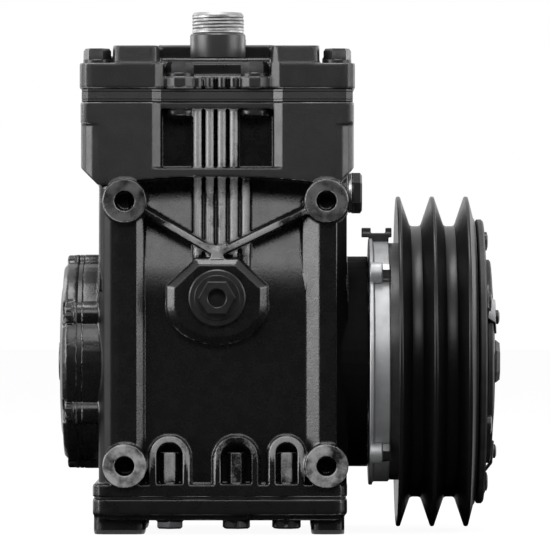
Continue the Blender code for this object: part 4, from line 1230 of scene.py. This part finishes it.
@dataclass
class HeadSet:
    """Cylinder head, its bolts and the two port stubs."""

    corner_seat: float = 214.0
    side_seat: float = 208.0
    port_y: float = 21.0
    stub_low: float = 216.8
    stub_step: float = 228.4
    stub_top: float = 238.0
    foot_r: float = 12.2
    collar_r: float = 12.7
    thread_r: float = 11.8
    thread_deep: float = 0.4
    thread_rows: int = 44
    pitch: float = 1.5
    bore_r: float = 7.5

    def bolt_nodes(self, kind: str) -> list[str]:
        """The CAD nodes of one kind of head bolt."""
        return sorted(name for name in frame["nodes"] if name.startswith(f"head_bolt_{kind}"))

    def bolts(self) -> None:
        """Replaces the head bolts, each kind on its own seat."""
        maker = BoltSet("head_bolts", "black_oxide", across=11.0, tall=6.7, collar=6.4, collar_tall=1.7)
        seats, nodes = [], []
        for kind, seat in (("corner", self.corner_seat), ("side", self.side_seat)):
            for i, node in enumerate(self.bolt_nodes(kind)):
                low, high = (TO_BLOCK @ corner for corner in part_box(node))
                middle = (low + high) / 2
                seats.append((Vector((middle.x, middle.y, seat)), Vector((0, 0, 1)), 7.0 * i - 6.0))
                nodes.append(node)
        maker.dress(seats, Body.CASING, nodes)

    def cut_thread(self, shape: Shape, y: float, start: float, end: float) -> None:
        """Cuts a thread into the rows of points between two heights.

        Args:
            shape: the drawn stub.
            y: its place across the head.
            start: where the thread starts.
            end: where it ends.
        """
        hair = 0.01
        for vert in shape.mesh.verts:
            x, z = vert.co.x, vert.co.z
            radius = math.hypot(x, vert.co.y - y)
            if start - hair < z < end + hair and abs(radius - self.thread_r) < hair:
                turn = math.atan2(vert.co.y - y, x) / FULL_TURN
                wave = 2 * abs((z / self.pitch - turn) % 1.0 - 0.5)
                ramp = min(1.0, (z - start) / self.pitch, (end - z) / self.pitch)
                scale = (radius - self.thread_deep * wave * ramp) / radius
                vert.co.x, vert.co.y = x * scale, y + (vert.co.y - y) * scale

    def stub(self, y: float, name: str) -> bpy.types.Object:
        """One port stub: painted collar below, bare thread above.

        Args:
            y: its place across the head.
            name: the piece's name.

        Returns:
            The stub with paint as material 0 and steel as material 1.
        """
        low, step, top = self.stub_low, self.stub_step, self.stub_top
        bore, collar, crest = self.bore_r, self.collar_r, self.thread_r
        start, end = step + 0.4, top - 1.3
        line = [(bore, low), (self.foot_r, low), (collar, low + 0.6), (collar, step - 0.9)]
        line += [(collar - 0.5, step - 0.2), (crest - 0.7, step)]
        line += [(crest, start + (end - start) * k / self.thread_rows) for k in range(self.thread_rows + 1)]
        line += [(crest - 0.9, top), (bore + 0.5, top), (bore, top - 0.5)]
        shape = Shape().lathe(line, Axis.Z, (0.0, y))
        self.cut_thread(shape, y, start, end)
        for face in shape.mesh.faces:
            face.material_index = 1 if face.calc_center_median().z > step - 0.25 else 0
        return shape.object(name, "stub_paint", "stub_zinc")

    def dress(self) -> None:
        """Builds and settles the head, its bolts and its stubs."""
        skin = Skin(voxel=0.62, rounds=3)
        head = skin.cast(Shape().copy_node("cylinder_head"), "cast_head", "head_paint")
        settle(head, Body.CASING, Slot.CASTING, ["cylinder_head"])
        self.bolts()
        for node, y in (("suction_fitting", -self.port_y), ("discharge_fitting", self.port_y)):
            settle(self.stub(y, f"{node}_turned"), Body.CASING, Slot.STEEL, [node])


@dataclass
class BasePlate:
    """The sump plate with its feet and the bolts under it."""

    bolt_x: tuple[float, ...] = (-21.6, 8.6, 31.4)
    bolt_y: float = 40.0
    under: float = 6.5

    def dress(self) -> None:
        """Builds and settles the plate and its bolt heads."""
        plate = Skin(most=90000).cast(Shape().copy_node("base_plate"), "cast_base", "cover_paint")
        settle(plate, Body.CASING, Slot.CASTING, ["base_plate"])
        seats = []
        for i, x in enumerate(self.bolt_x):
            for side in SIDES:
                spot = Vector((x, side * self.bolt_y, self.under))
                seats.append((spot, Vector((0, 0, -1)), 30 + 11.0 * i * side))
        BoltSet("base_bolts", "black_oxide", across=11.4, tall=3.9).dress(seats, Body.CASING)


@dataclass
class RearCover:
    """The rear bearing cover: a turned dome on six bolt ears."""

    joint: float = -63.6
    seat: float = -65.6
    face: float = -72.0
    radius: float = 46.0
    steps: tuple[Point, ...] = ((46.0, 3.2), (44.9, 2.1), (43.8, 1.2))
    dome_radii: Point = (33.0, 37.3)
    dome_edge: float = 1.2
    well_r: float = 6.4
    ears: Ears = Ears()
    ear_edge: float = 0.3
    gasket_hole_r: float = 38.2
    gasket_tall: float = 1.7
    gasket_inset: float = 0.15
    outline_steps: int = 720

    def outline(self, radius: float, bolt_r: float, side: int) -> list[Point]:
        """A circle with an ear or a well at each bolt.

        Args:
            radius: the circle's radius.
            bolt_r: radius of the ear or the well.
            side: 1 for ears that stand out, -1 for wells that are cut in.

        Returns:
            The points of the outline.
        """
        points = []
        first, pitch, ring_r = math.radians(self.ears.first), FULL_TURN / self.ears.count, self.ears.ring_r
        for k in range(self.outline_steps):
            a = FULL_TURN * k / self.outline_steps
            off = (a - first) % pitch
            off = min(off, pitch - off)
            inside = bolt_r**2 - (ring_r * math.sin(off)) ** 2
            edge = ring_r * math.cos(off) + side * math.sqrt(inside) if inside > 0 else radius
            points.append(polar(side * max(side * radius, side * edge), a))
        return points

    def gasket(self) -> bpy.types.Object:
        """Makes the gasket between the cover and the casting.

        Returns:
            The gasket, whose edge is painted over.
        """
        outer = self.outline(self.radius - self.gasket_inset, self.ears.radius - self.gasket_inset, 1)
        inner = circle(self.gasket_hole_r, steps=len(outer))
        low, high = self.joint - 0.1, self.joint + self.gasket_tall
        shape = Shape().collar([(outer, low), (outer, high), (inner, high), (inner, low)], Axis.X)
        return shape.object("rear_gasket", "cover_paint")

    def dress(self) -> None:
        """Builds and settles the cover and its bolts."""
        face, seat = self.face, self.seat
        shape = Shape().copy_node("rear_bearing_cover")
        spots = self.ears.spots()
        shape.rod(self.radius, Axis.X, seat, self.joint, CRANK_AXIS)
        for spot in spots:
            shape.rod(self.ears.radius, Axis.X, seat, self.joint, spot, self.ear_edge)
        for radius, rise in self.steps:
            shape.prism(self.outline(radius, self.well_r, -1), Axis.X, face + rise, seat + 0.5)
        crown, rim = self.dome_radii
        shape.lathe([(0, face), (crown, face), (rim, face + self.dome_edge), (rim, seat), (0, seat)])
        cover = Skin(voxel=0.62, most=110000).cast(shape, "cast_rear_cover", "cover_paint")
        settle(cover, Body.CASING, Slot.CASTING, ["rear_bearing_cover"])
        settle(self.gasket(), Body.CASING, Slot.RUBBER, ["rear_cover_seal"])
        maker = BoltSet("rear_cover_bolts", "black_oxide", across=9.8, tall=3.8, collar=5.6, collar_tall=0.8)
        maker.dress(end_seats(seat, spots, -1, 13.0), Body.CASING)


@dataclass
class Plugs:
    """Oil plugs on both sides and the service plug at the front shoulder."""

    plug_z: float = 107.5
    seat: float = 52.8
    shank_r: float = 9.2
    shank_root: float = 42.0
    flange_r: float = 12.9
    flange_tall: float = 2.8
    step_radii: Point = (10.4, 10.0)
    hex_across: float = 15.0
    hex_top: float = 7.3
    hex_crown: float = 0.92
    hex_steps: int = 48
    socket_r: float = 4.1
    service: Spot = (59.4, -35.5, 155.2)
    washer_radii: Point = (6.4, 9.0)
    washer_edge: float = 0.2
    washer_rise: Point = (0.1, 1.7)

    def oil_plug(self, side: int, name: str) -> bpy.types.Object:
        """One oil plug: flange with a step, hexagon and a round socket in it.

        Args:
            side: -1 for the near side, 1 for the far side.
            name: the piece's name.

        Returns:
            The plug.
        """
        face, r, middle = self.seat, self.flange_r, (0.0, self.plug_z)
        (step_r, top_r), lid = self.step_radii, face + self.flange_tall
        root, shank = self.shank_root, self.shank_r
        line = [(0, root), (shank, root), (shank, face), (r - 0.4, face), (r, face + 0.4), (r, face + 1.7)]
        line += [(r - 0.6, face + 2.2), (step_r, face + 2.3), (top_r, lid), (0, lid)]
        shape = Shape().lathe([(radius, side * y) for radius, y in line], Axis.Y, middle, 80)
        low, top = face + 2.4, face + self.hex_top
        flats, crown = (hexagon(self.hex_across * k, middle, self.hex_steps) for k in (1.0, self.hex_crown))
        mouth, socket = (circle(self.socket_r + edge, middle, self.hex_steps) for edge in (0.5, 0.0))
        outlines = [(flats, low), (flats, top - 0.8), (crown, top)]
        outlines += [(mouth, top), (socket, top - 0.5), (socket, low)]
        shape.collar([(outline, side * y) for outline, y in outlines], Axis.Y)
        return shape.object(name, "black_oxide")

    def service_plug(self) -> None:
        """Builds and settles the service plug's hexagon on its sealing washer."""
        face, y, z = self.service
        (hole, r), edge = self.washer_radii, self.washer_edge
        low, high = (face + rise for rise in self.washer_rise)
        ring = [(hole, low), (r - edge, low), (r, low + edge)]
        ring += [(r, high - edge), (r - edge, high), (hole, high)]
        washer = Shape().lathe(ring, Axis.X, (y, z), 64).object("service_washer_turned", "turned_steel")
        settle(washer, Body.CASING, Slot.STEEL, ["service_plug_washer"])
        collar = {"collar": 8.9, "collar_tall": 0.9, "sunk": 0.2}
        maker = BoltSet("service_plug_head", "black_oxide", across=16.0, tall=4.6, **collar)
        maker.dress(end_seats(face + 1.8, [(y, z)]), Body.CASING, ["front_service_plug"])

    def dress(self) -> None:
        """Builds and settles the plugs."""
        for node, side in (("oil_plug_near", -1), ("oil_plug_far", 1)):
            settle(self.oil_plug(side, f"{node}_turned"), Body.CASING, Slot.DARK, [node])
        self.service_plug()


def rounded_groove(tips: Sequence[float], half: float, rim: float, floor: float, slope: float) -> list[Point]:
    """The rim of the pulley from back to front, with rounded tips and groove floors.

    Args:
        tips: places of the flange tips along the axis.
        half: half the width of a tip.
        rim: radius of the tips.
        floor: radius of the groove floors.
        slope: angle of a groove side, in radians.

    Returns:
        Points as (radius, along).
    """
    run = (rim - floor) * math.tan(slope)
    points = []
    for i, tip in enumerate(tips):
        if i:
            start = tip - half - run
            points += [(floor - 0.5, start - 1.2), (floor - 0.1, start - 0.2), (floor + 0.9, start + 0.32)]
        for k in range(9):
            a = math.pi * k / 8
            points.append((rim - half * 0.9 * (1 - math.sin(a)), tip - (half + 0.25) * math.cos(a)))
        if i < len(tips) - 1:
            end = tip + half + run
            points += [(floor + 0.9, end - 0.32), (floor - 0.1, end + 0.2), (floor - 0.5, end + 1.2)]
    return points


@dataclass
class Clutch:
    """Field coil, pulley, clutch disc, hub and centre bolt.

    A line is a profile of (radius, along) points.
    """

    coil_face: float = 69.3
    coil_end: float = 102.0
    coil_r: float = 55.5
    coil_bore_r: float = 31.0
    coil_floor: float = 3.0
    coil_shade_from: float = 78.6
    winding_radii: Point = (47.4, 53.2)
    winding_floor: float = 6.0
    inner_r: float = 45.0
    plate_r: float = 57.0
    lug_ring_r: float = 57.8
    lug_r: float = 4.9
    lug_tall: float = 5.8
    terminal_foot: tuple[Point, ...] = ((69.6, -4.4), (78.6, -4.4), (78.6, 4.4), (69.6, 4.4))
    tips: tuple[float, ...] = (83.0, 98.6, 114.2)
    tip_half: float = 0.7
    rim_r: float = 76.2
    floor_r: float = 63.0
    slope: float = math.radians(19)
    back: float = 85.3
    back_radii: Point = (57.0, 57.6)
    face_line: Line = ((66.6, 117.4), (65.8, 118.0), (33.1, 118.0), (32.5, 117.4), (32.5, 112.6))
    bearing_line: Line = ((35.3, 112.6), (35.3, 89.9), (37.3, 89.9), (37.3, 87.1), (35.3, 87.1), (35.3, 85.0))
    pocket_line: Line = ((35.8, 84.5), (42.9, 84.5), (43.4, 85.0), (43.4, 106.0), (57.0, 106.0))
    disc_low: float = 118.8
    disc_top: float = 122.0
    disc_r: float = 65.6
    disc_hole_r: float = 43.0
    rivet_ring_r: float = 55.5
    hub_r: float = 47.0
    hub_low: float = 122.6
    hub_top: float = 125.4
    hub_rise: float = 1.4
    hub_crown_r: float = 28.0
    sleeve_line: Line = ((11.6, 85.5), (20.0, 85.5), (20.0, 114.0), (23.5, 114.0), (23.5, 122.6))
    hub_bore_line: Line = ((16.0, 117.0), (6.6, 117.0), (6.6, 112.8), (9.8, 112.8))
    window_r: float = 35.0
    window_half: Point = (5.5, 37.0)
    window_steps: int = 72
    window_round: float = 0.35
    spring_first: float = 30.0
    spring_half: float = 6.0
    spring_thick: float = 1.0
    spring_seat: Point = (36.5, 46.4)
    spring_foot: Point = (50.6, 60.5)
    spring_flex: Point = (46.8, 50.4)
    spring_rivet_r: float = 41.5
    washer_low: float = 117.3
    washer_top: float = 120.6
    washer_r: float = 15.2
    washer_hole_r: float = 5.4
    bolt_gap: float = 0.3
    bolt_end: float = 130.0

    def coil(self) -> None:
        """The zinc plated coil cup with its plate, lugs and bolts; its part inside the pulley is darker, as
        painted shade.
        """
        face, end, r, plate_r, step = self.coil_face, self.coil_end, self.coil_r, self.plate_r, self.coil_shade_from
        bore, floor, well = self.coil_bore_r, face + self.coil_floor, face + self.winding_floor
        inner, outer = self.winding_radii
        line = [(bore, face), (plate_r - 0.3, face), (plate_r, face + 0.3), (plate_r, face + 1.5)]
        line += [(plate_r - 0.3, face + 1.7), (r + 0.5, face + 1.8), (r, face + 2.4), (r, step - 0.5)]
        line += [(r - 0.5, step), (r - 0.8, step), (r - 0.8, end - 0.6), (r - 1.4, end)]
        line += [(outer, end), (outer, well), (inner, well), (inner, end)]
        line += [(self.inner_r, end), (self.inner_r, floor), (bore, floor)]
        shape = Shape().lathe(line, steps=128)
        spots = ring_spots(self.lug_ring_r, 4, 45.0)
        for spot in spots:
            shape.rod(self.lug_r, Axis.X, face, face + self.lug_tall, spot, 0.5)
        # Painted shade: the part of the cup inside the pulley gets the darker finish.
        for facet in shape.mesh.faces:
            facet.material_index = 1 if facet.calc_center_median().x > step - 0.2 else 0
        cup = shape.object("coil_cup", "zinc_plate", "coil_painted_shade")
        settle(cup, Body.CASING, Slot.ZINC, ["field_coil_housing"])
        maker = BoltSet("coil_bolts", "turned_steel", across=7.2, tall=3.8)
        maker.dress(end_seats(face + self.lug_tall, spots, turn=9.0), Body.CASING)

    def terminal(self) -> None:
        """The moulded terminal, its foot let down onto the coil cup."""
        shape = Shape().copy_node("coil_terminal")
        shape.prism(self.terminal_foot, Axis.Z, CRANK_Z + self.coil_r - 0.5, CRANK_Z + self.plate_r + 1.0)
        block = Skin(voxel=0.3, rounds=3, most=16000).cast(shape, "terminal_block", "moulded_plastic")
        settle(block, Body.CASING, Slot.PLASTIC, ["coil_terminal"])

    def pulley(self) -> None:
        """The two groove pulley with rounded flange tips."""
        inside, edge = self.back_radii
        rim = rounded_groove(self.tips, self.tip_half, self.rim_r, self.floor_r, self.slope)
        line = [(inside, self.back + 0.6), (edge, self.back), *rim]
        line += [*self.face_line, *self.bearing_line, *self.pocket_line]
        turned = Shape().lathe(line, steps=160).object("turned_pulley", "pulley_paint")
        settle(turned, Body.PULLEY, Slot.PULLEY, ["pulley"])

    def disc(self) -> None:
        """The clutch disc with its rivets."""
        low, top, r, hole = self.disc_low, self.disc_top, self.disc_r, self.disc_hole_r
        line = [(hole + 0.5, low), (r - 0.5, low), (r, low + 0.5), (r, top - 0.8), (r - 0.8, top)]
        line += [(hole + 0.5, top), (hole, top - 0.5), (hole, low + 0.5)]
        disc = Shape().lathe(line, steps=128).object("clutch_disc", "phosphate")
        settle(disc, Body.ARMATURE, Slot.DARK, ["armature_plate"])
        maker = BoltSet("clutch_rivets", "black_oxide", across=8.6, tall=2.5, sides=32, crown=0.62)
        maker.dress(end_seats(top, ring_spots(self.rivet_ring_r, 6, 30.0)), Body.ARMATURE)

    def window(self, middle: float) -> list[Point]:
        """Outlines one curved window of the hub plate, with rounded corners.

        Args:
            middle: the angle of its middle, in degrees.

        Returns:
            The outline.
        """
        deep, wide = self.window_half
        points = []
        for u, v in circle(1.0, (0.0, 0.0), self.window_steps):
            across, out = (math.copysign(abs(c) ** self.window_round, c) for c in (u, v))
            points.append(polar(self.window_r + deep * out, math.radians(middle + wide * across)))
        return points

    def hub(self) -> None:
        """The hub with its spring plate and three windows."""
        low, top, r = self.hub_low, self.hub_top, self.hub_r
        line = [*self.sleeve_line, (r - 0.5, low), (r, low + 0.5), (r, top - 0.6), (r - 0.6, top)]
        line += [(self.hub_crown_r, top + self.hub_rise), (16.4, top + 1.6), (16.0, top + 1.2)]
        line += self.hub_bore_line
        hub = Shape().lathe(line, steps=144).object("clutch_hub_turned", "phosphate")
        cutter = Shape()
        for middle in (90.0, 210.0, 330.0):
            cutter.prism(self.window(middle), Axis.X, low - 2.0, top + 4.0)
        settle(carve(hub, cutter.object("hub_windows"), 0.3), Body.CRANK, Slot.DARK, ["clutch_hub"])

    def hub_slope(self, radius: float) -> float:
        """Where the cone of the hub plate stands at a radius, with a hair of clearance."""
        edge = self.hub_r - 0.6
        return self.hub_top + self.hub_rise * (edge - radius) / (edge - self.hub_crown_r) + 0.06

    def spring(self, turn: float, name: str) -> bpy.types.Object:
        """One leaf spring, from the hub plate out to the disc.

        Args:
            turn: its place round the axis, in degrees.
            name: the piece's name.

        Returns:
            The spring with broken edges.
        """
        seat, half = self.disc_top + 0.1, self.spring_half
        line = [(self.hub_slope(r), r) for r in self.spring_seat] + [(seat, r) for r in self.spring_foot]
        shifts = (0.0, 0.5, 0.5, 0.0)
        back = [(x + self.spring_thick, r + shift) for (x, r), shift in zip(reversed(line), shifts)]
        leaf = Shape().prism([(x, CRANK_Z + r) for x, r in line + back], Axis.Y, -half, half)
        spin = Matrix.Rotation(math.radians(turn - 90.0), 3, "X")
        bmesh.ops.rotate(leaf.mesh, cent=(0.0, 0.0, CRANK_Z), matrix=spin, verts=leaf.mesh.verts)
        piece = leaf.object(name, "spring_dark")
        break_edges(piece, 0.3, 30.0)
        smooth(baked(piece))
        return piece

    def springs(self) -> None:
        """Three leaf springs, each riveted to the hub plate inside and to the disc outside."""
        for k, (y, z) in enumerate(ring_spots(1.0, 3, self.spring_first)):
            leaf = self.spring(self.spring_first + 120.0 * k, f"clutch_spring_{k + 1}")
            way = Vector((0.0, y, z - CRANK_Z))
            ends = [TO_FRAME @ (Vector((self.hub_top, 0.0, CRANK_Z)) + way * r) for r in self.spring_flex]
            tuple(ends[0])
            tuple(ends[1])
            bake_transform(leaf)
            LOG.info("%s: %d faces between hub and disc", leaf.name, len(leaf.data.polygons))
        maker = BoltSet("spring_rivets", "black_oxide", across=6.4, tall=1.6, sides=28, crown=0.62, sunk=1.5)
        top = self.hub_slope(self.spring_rivet_r) + self.spring_thick
        maker.dress(end_seats(top, ring_spots(self.spring_rivet_r, 3, self.spring_first)), Body.CRANK)

    def centre(self) -> None:
        """The washer and the centre bolt that hold the hub on the shaft."""
        low, top, r, hole = self.washer_low, self.washer_top, self.washer_r, self.washer_hole_r
        ring = [(hole, low), (r, low), (r, top - 0.4), (r - 0.4, top), (hole, top)]
        washer = Shape().lathe(ring, steps=80).object("hub_washer_turned", "turned_steel")
        settle(washer, Body.CRANK, Slot.STEEL, ["hub_washer"])
        tall = self.bolt_end - top - self.bolt_gap
        maker = BoltSet("hub_bolt_head", "black_oxide", across=17.0, tall=tall, collar=11.4, collar_tall=2.2)
        maker.dress(end_seats(top + self.bolt_gap, [CRANK_AXIS]), Body.CRANK, ["hub_bolt"])

    def dress(self) -> None:
        """Builds and settles the clutch."""
        for step in (self.coil, self.terminal, self.pulley, self.disc, self.hub, self.springs, self.centre):
            step()


@dataclass
class InnerPieces:
    """The CAD nodes that stay as they are and get the first finish of their slot, apart from the joints between
    the castings.
    """

    painted_over: tuple[str, ...] = ("valve_plate", "valve_plate_gasket", "head_gasket", "base_gasket")

    def dress(self) -> None:
        """Gives every CAD node its finish; the edges between the castings were painted with them, in a lighter
        black that is painted light lifting the shade in the inset joints.
        """
        plain = {finish.slot: finish.name for finish in reversed(FINISHES.values())}
        for part in frame["record"]["subparts"]:
            name, slot = part["node"], Slot(part["material_slot"])
            materials = frame["nodes"][name].data.materials
            materials.clear()
            materials.append(paint("joint_painted_light" if name in self.painted_over else plain[slot]))


@dataclass(frozen=True)
class Lamp:
    """A soft box, aimed at the middle of the object."""

    name: str
    place: Spot
    size: Point
    radiance: float

    def light(self, aim: Vector) -> None:
        """Hangs the lamp.

        Args:
            aim: the point that it faces.
        """
        data = bpy.data.lights.new(self.name, "AREA")
        data.shape = "RECTANGLE"
        data.size, data.size_y = self.size
        data.energy = self.radiance * math.pi * self.size[0] * self.size[1]
        lamp = linked(self.name, data)
        lamp.location = self.place
        lamp.rotation_euler = (aim - Vector(self.place)).to_track_quat("-Z", "Y").to_euler()


@dataclass
class Studio:
    """Pale floor, white surround, soft boxes, dark flags on the camera's side, and the camera.

    Sizes of the stage are in metres, and the camera's aim is in millimetres.
    """

    distance: float = 2.5
    aim_x: float = 26.2
    aim_z: float = 117.9
    sensor: float = 36.0
    lens: float = 354.0
    clip_end: float = 50.0
    surround: float = 0.4
    floor_half: float = 6.0
    floor_grey: float = 0.82
    floor_glow: float = 1.05
    floor_seen: float = 0.9
    flag_half: float = 4.2
    flag_y: float = -3.8
    flag_top: float = 1.9
    mat_half: float = 0.9
    mat_y: float = 0.1
    mat_z: float = 0.002
    boxes: tuple[Lamp, ...] = (
        Lamp("front_top_box", (0.05, -1.7, 1.15), (1.5, 0.6), 3.9),
        Lamp("overhead_box", (-0.1, -0.15, 1.6), (0.9, 0.6), 9.0),
        Lamp("left_box", (-1.65, -0.65, 0.5), (1.1, 1.1), 8.0),
        Lamp("right_box", (1.65, -0.65, 0.5), (1.1, 1.1), 4.5),
        Lamp("left_rim_box", (-1.4, 1.1, 0.7), (0.8, 1.0), 4.0),
        Lamp("right_rim_box", (1.4, 1.1, 0.7), (0.8, 1.0), 4.0),
    )

    def seen_directly(self, tree: Tree) -> Value:
        """1 for rays that see the background, 0 for rays that carry its light."""
        ray = tree.node("ShaderNodeLightPath").outputs
        return Value(tree, ray["Is Camera Ray"]).most(ray["Is Glossy Ray"]).most(ray["Is Transmission Ray"])

    def world(self) -> None:
        """White to the camera and in reflections, softer as a light."""
        world = bpy.data.worlds.new("surround")
        world.use_nodes = True
        bpy.context.scene.world = world
        tree = Tree(world.node_tree)
        strength = self.seen_directly(tree) * (1.0 - self.surround) + self.surround
        tree.feed(world.node_tree.nodes["Background"], {"Color": (1.0, 1.0, 1.0, 1.0), "Strength": strength})

    def card(self, name: str, corners: Sequence[Spot], material: bpy.types.Material) -> bpy.types.Object:
        """Makes a flat sheet of the stage.

        Args:
            name: its name.
            corners: its corners in order.
            material: what it is made of.

        Returns:
            The sheet.
        """
        mesh = bpy.data.meshes.new(name)
        mesh.from_pydata(corners, [], [tuple(range(len(corners)))])
        mesh.materials.append(material)
        sheet = linked(name, mesh)
        return sheet

    def floor(self) -> None:
        """A pale floor that keeps a light shadow."""
        material = bpy.data.materials.new("pale_floor")
        material.use_nodes = True
        tree = Tree(material.node_tree)
        grey = self.floor_grey
        matt = tree.node("ShaderNodeBsdfDiffuse", {}, {"Color": (grey, grey, grey, 1.0)})
        inputs = {"Color": (1.0, 1.0, 1.0, 1.0), "Strength": self.floor_glow}
        glow = tree.node("ShaderNodeEmission", {}, inputs)
        inputs = {0: self.seen_directly(tree) * self.floor_seen, 1: matt.outputs[0], 2: glow.outputs[0]}
        mixed = tree.node("ShaderNodeMixShader", {}, inputs)
        tree.feed(material.node_tree.nodes["Material Output"], {"Surface": mixed.outputs[0]})
        half = self.floor_half
        self.card("floor", [(-half, -half, 0), (half, -half, 0), (half, half, 0), (-half, half, 0)], material)

    def flags(self) -> None:
        """Dark cards on the camera's side, which only reflections see."""
        material = bpy.data.materials.new("dark_flag")
        material.use_nodes = True
        black = {"Base Color": (0.0, 0.0, 0.0, 1.0), "Specular IOR Level": 0.0}
        Tree(material.node_tree).feed(material.node_tree.nodes["Principled BSDF"], black)
        half, y, top, low = self.flag_half, self.flag_y, self.flag_top, self.mat_z
        near, far = self.mat_half, self.mat_y
        upright = [(-half, y, 0.0), (half, y, 0.0), (half, y, top), (-half, y, top)]
        mat = [(-half, y, low), (half, y, low), (near, far, low), (-near, far, low)]
        for name, corners in (("flag_upright", upright), ("flag_mat", mat)):
            sheet = self.card(name, corners, material)
            sheet.visible_camera = False
            sheet.visible_diffuse = False
            sheet.visible_shadow = False
            sheet.visible_transmission = False

    def camera(self) -> None:
        """Sets the camera level, square to the near side."""
        data = bpy.data.cameras.new("camera")
        data.sensor_fit = "HORIZONTAL"
        data.sensor_width = self.sensor
        data.lens = self.lens
        data.clip_end = self.clip_end
        camera = linked("camera", data)
        camera.location = (BLOCK_X + self.aim_x * MM, -self.distance, self.aim_z * MM)
        camera.rotation_euler = (math.pi / 2, 0.0, 0.0)
        bpy.context.scene.camera = camera

    def dress(self) -> None:
        """Builds the studio."""
        bpy.context.scene.view_settings.view_transform = "Standard"
        self.camera()
        self.world()
        self.floor()
        self.flags()
        for lamp in self.boxes:
            lamp.light(Vector((BLOCK_X, 0.0, self.aim_z * MM)))


def main() -> None:
    """Builds every sub-assembly in order."""
    logging.basicConfig(level=logging.INFO, format="%(message)s")
    InnerPieces().dress()
    for assembly in (Studio(), Crankcase(), HeadSet(), BasePlate(), RearCover(), Plugs(), Clutch()):
        LOG.info("building %s", type(assembly).__name__)
        assembly.dress()


if __name__ == "__main__":
    main()
